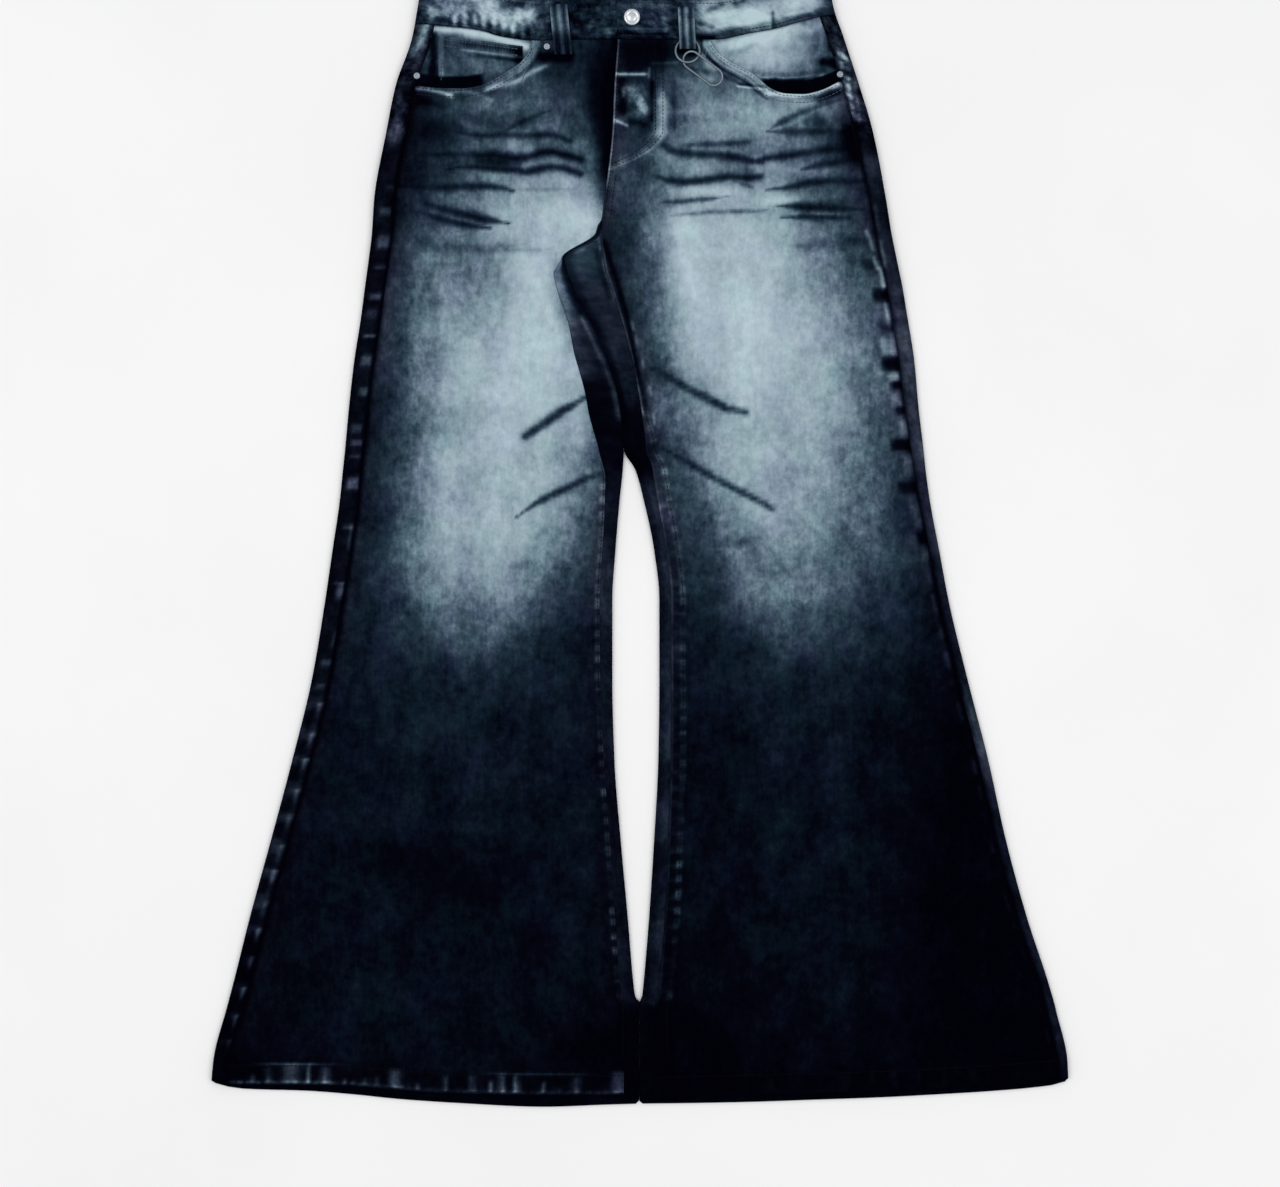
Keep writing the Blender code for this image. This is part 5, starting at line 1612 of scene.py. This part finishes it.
make_loop("loop_left", "belt_loop_front_left", LOOP_LEFT, LOOP_UNDER, LOOP_CLOTH, 0.27, 0.24)
make_loop("loop_right", "belt_loop_front_right", LOOP_RIGHT, LOOP_UNDER, LOOP_CLOTH, 0.34)
for i, middle in enumerate((-140, -18, 104), 1):
    first = float(BACK_WAIST(middle)) - BAND_HEIGHT - GAP / 2 + 1
    shape = (middle, middle, first, first + 52, 14.0, FLAT_ARCH)
    make_loop(f"loop_back_{i}", f"belt_loop_back_{i}", shape, 0.0, CLOTH, 0.12)

# %% [markdown]
# ## Stitching
#
# Topstitching on jeans is thick thread, about 3 mm a stitch. Each stitch is a small pillow that
# rises from the cloth and dips back into it. One is modelled, and it is repeated along every seam.

# %% Thread


def make_thread(name, dark, middle, pale):
    """Core-spun polyester sewing thread: twisted, slightly glossy, dulled by the wash."""
    made, tree, shader = new_material(name)
    fibre, patch = object_noise(tree, 900.0, 2.0), object_noise(tree, 60.0, 1.0)
    mixed = node(tree, "ShaderNodeMath", {"operation": "MULTIPLY"}, {0: fibre, 1: patch})
    stops = ((0.12, dark), (0.26, middle), (0.42, pale))
    feed(tree, shader, "Base Color", colour_ramp(tree, (mixed, "Value"), stops))
    add_bump(tree, shader, fibre, 0.4, 0.0002)
    shader.inputs["Roughness"].default_value = 0.8
    shader.inputs["Specular IOR Level"].default_value = 0.05
    return made


THREAD = make_thread("washed_sewing_thread", "#0A0D16", "#171B26", "#2E323E")
PALE_THREAD = make_thread("faded_sewing_thread", "#2C3743", "#46535F", "#61707C")
DARK_THREAD = make_thread("unwashed_sewing_thread", "#010104", "#04050A", "#0B0D14")
print("threads:", THREAD.name, PALE_THREAD.name, DARK_THREAD.name)

# %% One stitch
STITCH_LONG, STITCH_GAP, STITCH_WIDE, STITCH_TALL = 2.9, 0.8, 0.75, 0.42


def stitch_shape():
    """Cross-sections of one stitch: five along, four round. Length runs along +u."""
    section = ((-1, -0.4), (-0.6, 0.7), (0.6, 0.7), (1, -0.4))
    points = np.array([
        (u, 0.5 * size * a, size * b)
        for u, size in ((-0.5, 0.25), (-0.3, 0.85), (0.0, 1.0), (0.3, 0.85), (0.5, 0.25))
        for a, b in section
    ])
    faces = []
    for i in range(4):
        for k in range(4):
            a, b = i * 4 + k, i * 4 + (k + 1) % 4
            faces.append((a, b, b + 4, a + 4))
    faces += [(3, 2, 1, 0), (16, 17, 18, 19)]
    return points, faces


STITCH_POINTS, STITCH_FACES = stitch_shape()
print("faces of a stitch:", len(STITCH_FACES))

# %% Sew along a line


def unit(vector):
    return vector / max(np.linalg.norm(vector), 1e-6)


def sew(name, lines, thread=THREAD):
    """One mesh of stitches along lines of (x, down, z, face); face is 1 on top and -1 underneath."""
    points, faces = [], []
    pitch = STITCH_LONG + STITCH_GAP
    for line in lines:
        path = np.array([p[:3] for p in line], float)
        along = np.concatenate([[0], np.cumsum(np.linalg.norm(np.diff(path, axis=0), axis=1))])
        for k in range(int(along[-1] // pitch)):
            middle = (k + 0.5) * pitch
            first, last = (
                np.array([np.interp(middle + half, along, path[:, i]) for i in range(3)])
                for half in (-STITCH_LONG / 2, STITCH_LONG / 2)
            )
            run = unit(last - first)
            across = unit(np.cross(run, [0, 0, line[0][3]]))
            up = np.cross(across, run)
            sides = np.array([run * STITCH_LONG, across * STITCH_WIDE, up * STITCH_TALL])
            start = len(points)
            points += list((first + last) / 2 + STITCH_POINTS @ sides)
            faces += [tuple(start + i for i in f) for f in STITCH_FACES]
    mesh = bpy.data.meshes.new(name)
    mesh.from_pydata(place(points).tolist(), [], faces)
    work = bmesh.new()
    work.from_mesh(mesh)
    bmesh.ops.recalc_face_normals(work, faces=work.faces)
    work.to_mesh(mesh)
    work.free()
    new_piece(name, mesh, thread)
    print(f"{name}: {len(faces) // len(STITCH_FACES)} stitches")

# %% Lines on the cloth
ON_CLOTH = 0.12          # a stitch's middle lies this far off the cloth


def on_front(side, xs, downs):
    """A line of stitching on a front."""
    return [(x, d, z + ON_CLOTH, 1) for x, d, z in zip(xs, downs, front_top(side, xs, downs))]


def offset_line(line, by):
    """A line moved sideways by a distance."""
    line = np.array(line, float)
    run = np.gradient(line, axis=0)
    run /= np.linalg.norm(run, axis=1)[:, None]
    return line + by * stack(-run[:, 1], run[:, 0])

# %% Sew the fronts
for side, word in SIDES:
    # Pocket opening: two rows along the turned edge.
    corners = np.array(POCKET_LINE[side], float)[:, 0]
    xs = np.interp(np.linspace(0, 1, 60) * (len(corners) - 1), np.arange(len(corners)), corners)
    edge = stack(xs, POCKET[side](xs))
    lines = [on_front(side, *offset_line(edge, by).T) for by in (2.0, 8.0)]
    sew(f"stitches_front_{word}", lines, PALE_THREAD if side > 0 else THREAD)
    # Side seam, inseam and hem of the front panel.
    beside = np.linspace(130 if side > 0 else 122, 215, 40)
    inseam = np.linspace(420 if side > 0 else 476, 1046, 230)
    xs = np.linspace(float(side_line(side, 1060)), float(inner_line(side, 1060)), 90)
    lines = [
        on_front(side, side_line(side, beside) - side * 2.2, beside),
        on_front(side, inner_line(side, inseam) + side * stitch_inset(side, inseam), inseam),
        on_front(side, xs, FRONT_HEM[side](xs) - HEM_HEIGHT + 2.5),
    ]
    sew(f"stitches_leg_{word}", lines, DARK_THREAD)

# %% Sew the fly
# Two rows of the J, the edge row, and the centre-front seam down to the crotch.
lines = []
for inset in (1.5, 8.5):
    downs = np.concatenate([np.linspace(70, 150, 30), np.linspace(151, 189.5, 24)])
    xs = FLY(downs + 0.35 * inset * grow(downs, 150, 30)) - inset * wane(downs, 160, 40)
    keep = xs > IN[1](downs) + 3
    lines.append(on_front(1, xs[keep], downs[keep]))
for first, count, inset in ((70, 60, 2.2), (196, 14, 8.0)):
    downs = np.linspace(first, 240, count)
    lines.append(on_front(1, IN[1](downs) + inset, downs))
sew("stitches_fly", lines, DARK_THREAD)

# %% Sew the coin pocket
# Two rows on its top edge and one down its side.
xs, downs = np.linspace(-190, -116, 30), np.linspace(66, 108, 14)
rows = [zip(xs, coin_top(xs) + inset) for inset in (3.4, 9.4)] + [zip(np.full(14, -190.2), downs)]
lines = [[(x, d, float(rim(d, NO_HEM)) + PATCH + ON_CLOTH, 1) for x, d in row] for row in rows]
sew("stitches_coin", lines, PALE_THREAD)

# %% Sew the waistband
# One row along each long edge, front and underside.
UNDERSIDE = HIP_LIFT - 0.02
lines = []
for part, first, last in (("front", -196, -24), ("front", -18, 168), ("back", -190, 164)):
    for share in (0.09, 0.91):
        line = []
        for x in np.linspace(first, last, 60):
            if part == "front":
                down, z, face = FRONT_WAIST(x), float(band_face(x, x >= BAND_END)) + 0.3, 1
            else:
                down, z, face = BACK_WAIST(x), UNDERSIDE, -1
            line.append((x, float(down) - BAND_HEIGHT * (1 - share), z, face))
        lines.append(line)
sew("stitches_waist", lines)

# %% Sew the belt loops
# Two rows on each.
lines = []
for x_top, x_low, first, last, wide, arch in (LOOP_LEFT, LOOP_RIGHT):
    share = np.linspace(0.03, 0.97, 30)
    downs, z = first * (1 - share) + last * share, LOOP_UNDER + smooth_curve(arch)(share) + LOOP_CLOTH
    for across in (-0.25, 0.25):
        xs = x_top * (1 - share) + x_low * share + wide * across
        lines.append([(*point, 1) for point in zip(xs, downs, z)])
sew("stitches_loops", lines)

# %% Sew the underside
# Back pockets, yoke seam and centre back.
TWO_ROWS = (2.5, 8.5)    # the usual rows, from an edge
lines = []
for middle in BACK_POCKETS.values():
    for inset in TWO_ROWS:
        wide, corner = BACK_HALF - inset, BACK_POINT - BACK_CORNER - inset
        point = BACK_POINT - inset * 1.05
        shape = ((-wide, 140), (-wide, corner), (0, point), (wide, corner), (wide, 140))
        lines.append([(middle + x, d, -0.02, -1) for x, d in shape])
    for inset in (4.0, 14.0):
        lines.append([(middle + x, BACK_TOP + inset, -0.02, -1) for x in (-64, 0, 64)])
for by in TWO_ROWS:
    lines.append([(x, float(YOKE(x)) + by, UNDERSIDE, -1) for x in np.linspace(-222, 196, 120)])
lines.append([(float(IN[1](d)) + 3, d, UNDERSIDE, -1) for d in np.linspace(126, 250, 40)])
sew("stitches_under", lines)

# %% [markdown]
# ## Button and rivets
#
# The button is a stamped cap of nickel-plated brass on a fixed shank, with a rolled rim and a
# shallow dish. The rivets are small domed caps. Each starts as a cylinder, and its top face is
# inset, pulled and bevelled, as the press would shape it.

# %% Metal finish


def make_metal(name, colour, rough):
    """Nickel plate over brass: mirror-like when new, dulled by fine tumbling scratches."""
    made, tree, shader = new_material(name)
    scratch = object_noise(tree, 1600.0, 3.0, 0.7)
    limits = {"Value": scratch, "To Min": rough - 0.08, "To Max": rough + 0.14}
    feed(tree, shader, "Roughness", (node(tree, "ShaderNodeMapRange", None, limits), "Result"))
    add_bump(tree, shader, scratch, 0.15, 0.0002)
    shader.inputs["Base Color"].default_value = linear(colour)
    shader.inputs["Metallic"].default_value = 1.0
    return made


NICKEL = make_metal("nickel_plated_brass", "#CDD2D6", 0.32)
RIM_NICKEL_PAINTED_SHADE = make_metal("rivet_rim_nickel_painted_shade", "#202029", 0.6)
NUB_NICKEL_PAINTED_HIGHLIGHT = make_metal("rivet_nub_nickel_painted_highlight", "#9299A6", 0.45)
STEEL = make_metal("polished_steel_wire", "#76828F", 0.38)


print("metals:", NICKEL.name, RIM_NICKEL_PAINTED_SHADE.name, NUB_NICKEL_PAINTED_HIGHLIGHT.name, STEEL.name)

# %% Helpers for turned pieces


def select_faces(test):
    """In edit mode, selects the faces for which test(centre, normal) holds."""
    bpy.ops.mesh.select_all(action="DESELECT")
    mesh = bmesh.from_edit_mesh(bpy.context.object.data)
    for face in mesh.faces:
        if test(face.calc_center_median(), face.normal):
            face.select_set(True)
    bmesh.update_edit_mesh(bpy.context.object.data)


def add_primitive(name, primitive, **sizes):
    """A primitive by one of Blender's own operators, alone in the selection."""
    bpy.ops.object.select_all(action="DESELECT")
    primitive(**sizes)
    bpy.context.object.name = name
    return bpy.context.object


def freeze():
    """Writes the place and the turn of the object into its mesh."""
    bpy.ops.object.transform_apply(location=True, rotation=True, scale=True)


def start_cylinder(name, x, down, low, radius, height, sides):
    """A cylinder on the axis at (x, down), left in edit mode."""
    made = add_primitive(
        name, bpy.ops.mesh.primitive_cylinder_add, vertices=sides, radius=radius / 1000,
        depth=height / 1000, location=place((x, down, low + height / 2)),
    )
    freeze()
    bpy.ops.object.mode_set(mode="EDIT")
    return made


def finish_metal(piece, body, node_name, material):
    bpy.ops.object.mode_set(mode="OBJECT")
    piece.data.materials.clear()
    piece.data.materials.append(material)
    bpy.ops.object.shade_smooth_by_angle(angle=math.radians(38))
    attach(piece, body)
    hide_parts(node_name)
    print(f"{piece.name}: {len(piece.data.polygons)} faces")


def from_axis(point, x, down):
    """Distance in metres of a point from the upright axis at (x, down)."""
    axis = place((x, down, 0))
    return math.hypot(point.x - axis[0], point.y - axis[1])


def pull_face(x, down, inset, rise, up=1):
    """Insets the round face on the axis at (x, down) and moves it by rise."""
    select_faces(lambda centre, normal: normal.z * up > 0.7 and from_axis(centre, x, down) < 1e-4)
    bpy.ops.mesh.inset(thickness=inset / 1000, depth=0)
    bpy.ops.transform.translate(value=(0, 0, rise / 1000))

# %% Button
# A profile is pairs of inset and rise, from the rim to the middle.
BUTTON_X, BUTTON_DOWN = -7.2, 46.0
BUTTON_PROFILE = ((0.8, 0.8), (0.9, 0.3), (0.8, -0.1), (0.7, -0.4), (1.2, 0.35), (1.4, 0.35))
SHANK_PROFILE = ((5.9, 0.0), (0.02, -2.3))
button = start_cylinder("shank_button", BUTTON_X, BUTTON_DOWN, 9.2, 7.9, 0.9, 48)
for profile, up in ((BUTTON_PROFILE, 1), (SHANK_PROFILE, -1)):
    for inset, rise in profile:
        pull_face(BUTTON_X, BUTTON_DOWN, inset, rise, up)
bpy.ops.object.mode_set(mode="OBJECT")
soft = button.modifiers.new("soft", "BEVEL")
soft.width, soft.segments, soft.limit_method = 0.0002, 2, "ANGLE"
bpy.ops.object.modifier_apply(modifier="soft")
finish_metal(button, "jeans", "button", NICKEL)

# %% Rivets
RIVET_PROFILE = ((0.9, 0.55), (0.9, 0.25), (0.7, -0.25), (0.6, 0.35))
RIVETS = ((-213.6, 101.8, 6.2), (-88.8, 74.0, 7.7), (192.5, 100.4, 6.2))     # x, down, height
# One nickel cap in two colours: painted highlight on the nub, painted shade on the rim.
NUB = 0.0027             # only the nub in the middle, up to this radius in metres, is still bright
for i, (x, down, low) in enumerate(RIVETS, 1):
    rivet = start_cylinder(f"rivet_cap_{i}", x, down, low, 3.8, 0.5, 28)
    for inset, rise in RIVET_PROFILE:
        pull_face(x, down, inset, rise)
    # The rim gets the painted shade and the nub, below, the painted highlight.
    finish_metal(rivet, "jeans", f"rivet_{i}", RIM_NICKEL_PAINTED_SHADE)
    rivet.data.materials.append(NUB_NICKEL_PAINTED_HIGHLIGHT)
    for face in rivet.data.polygons:
        if from_axis(face.center, x, down) < NUB:
            face.material_index = 1

# %% [markdown]
# ## Ring and link
#
# A ring of polished wire hangs in the right front belt loop, with a long oval link threaded on it.
# The ring is a torus. The link is a torus too, cut across the middle: one half slides along, and
# the two halves are joined by straight wire.

# %% Ring
RING_X, RING_DOWN, RING_RADIUS = 46.1, 78.7, 11.5
RING_TOP_Z, RING_SLOPE = 8.8, 0.17                          # the slope in radians
WIRE = 1.12              # radius of the wire


def start_torus(name, point, radius, sides, slope=0.0):
    """A torus of wire round a point (x, down, z)."""
    return add_primitive(
        name, bpy.ops.mesh.primitive_torus_add, major_radius=radius / 1000, minor_radius=WIRE / 1000,
        major_segments=sides, minor_segments=18, location=place(point), rotation=(-slope, 0, 0),
    )


ring = start_torus("hanging_ring", (
    RING_X, RING_DOWN - RING_RADIUS + RING_RADIUS * math.cos(RING_SLOPE),
    RING_TOP_Z + RING_RADIUS * math.sin(RING_SLOPE),
), RING_RADIUS, 72, RING_SLOPE)
freeze()
finish_metal(ring, "ring", "ring", STEEL)

# %% Link
LINK_X, LINK_DOWN, LINK_Z = 60.6, 95.7, 11.94
LINK_HALF, LINK_WIDE = 21.5, 8.4
LINK_TURN, LINK_DROP, LINK_ROLL = -36.8, -1.0, 21.7         # in degrees
link = start_torus("oval_link", (LINK_X, LINK_DOWN, LINK_Z), LINK_WIDE, 48)
bpy.ops.object.mode_set(mode="EDIT")
select_faces(lambda centre, normal: abs(centre.x) < 0.001)
bpy.ops.mesh.delete(type="FACE")
mesh = bmesh.from_edit_mesh(link.data)
for sign in (-1, 1):
    for vert in mesh.verts:
        vert.select = vert.co.x * sign > 0
    mesh.select_flush_mode()
    bmesh.update_edit_mesh(link.data)
    bpy.ops.transform.translate(value=(sign * (LINK_HALF - LINK_WIDE) / 1000, 0, 0))
for sign in (-1, 1):
    bpy.ops.mesh.select_all(action="DESELECT")
    bpy.ops.mesh.select_mode(type="EDGE")
    mesh = bmesh.from_edit_mesh(link.data)
    for edge in mesh.edges:
        edge.select = edge.is_boundary and edge.verts[0].co.y * sign > 0
    bmesh.update_edit_mesh(link.data)
    bpy.ops.mesh.bridge_edge_loops()
bpy.ops.mesh.select_mode(type="FACE")
bpy.ops.object.mode_set(mode="OBJECT")
link.rotation_euler = (math.radians(LINK_ROLL), math.radians(LINK_DROP), math.radians(LINK_TURN))
freeze()
finish_metal(link, "link", "link", STEEL)

# %% [markdown]
# ## Floor, light and camera
#
# The jeans lie on a pale sheet of studio paper under a large soft light, so the shadows are faint
# and close to the cloth. The camera hangs straight above, as for a catalogue picture.

# %% Floor


def make_paper():
    """Matt studio paper: almost white, with the faintest mottle of its pulp."""
    made, tree, shader = new_material("matt_studio_paper")
    pulp = object_noise(tree, 4.0, 3.0)
    feed(tree, shader, "Base Color", colour_ramp(tree, pulp, ((0.3, "#EFEFF0"), (0.7, "#F2F2F3"))))
    shader.inputs["Roughness"].default_value = 0.95
    return made


floor = add_primitive(
    "paper_floor", bpy.ops.mesh.primitive_plane_add, size=6.0, location=(0, 0, -0.0004),
)
freeze()
floor.data.materials.append(make_paper())
print("floor: 6 m square")

# %% Light


def soft_light(name, x, y, z, size, watts):
    """A square soft box that is aimed at the middle of the garment."""
    data = bpy.data.lights.new(name, "AREA")
    data.shape, data.size, data.energy = "SQUARE", size, watts
    made = bpy.data.objects.new(name, data)
    made.location = (x, y, z)
    aim = bpy.context.scene.cursor.location - made.location
    made.rotation_euler = aim.to_track_quat("-Z", "Y").to_euler()
    bpy.context.collection.objects.link(made)


soft_light("overhead_left", -1.5, 0.3, 2.5, 1.6, 20)
soft_light("overhead_right", 1.6, -0.3, 2.5, 1.6, 19)
world = bpy.data.worlds.new("white_room")
world.use_nodes = True
background = world.node_tree.nodes["Background"].inputs
background["Color"].default_value, background["Strength"].default_value = (1, 1, 1, 1), 0.7
bpy.context.scene.world = world
bpy.context.scene.view_settings.view_transform = "Standard"
print("lights: 2 soft boxes and a white room")

# %% Camera
LENS, SENSOR = 85.0, 36.0
PICTURE_WIDTH = 1.2288   # metres that the picture takes in, on the cloth
camera_data = bpy.data.cameras.new("overhead_camera")
camera_data.lens, camera_data.sensor_width = LENS, SENSOR
camera = bpy.data.objects.new("overhead_camera", camera_data)
camera.location = (0.0005, -0.0536, 0.005 + PICTURE_WIDTH * LENS / SENSOR)
bpy.context.collection.objects.link(camera)
bpy.context.scene.camera = camera
print("camera height: %.3f m" % camera.location.z)
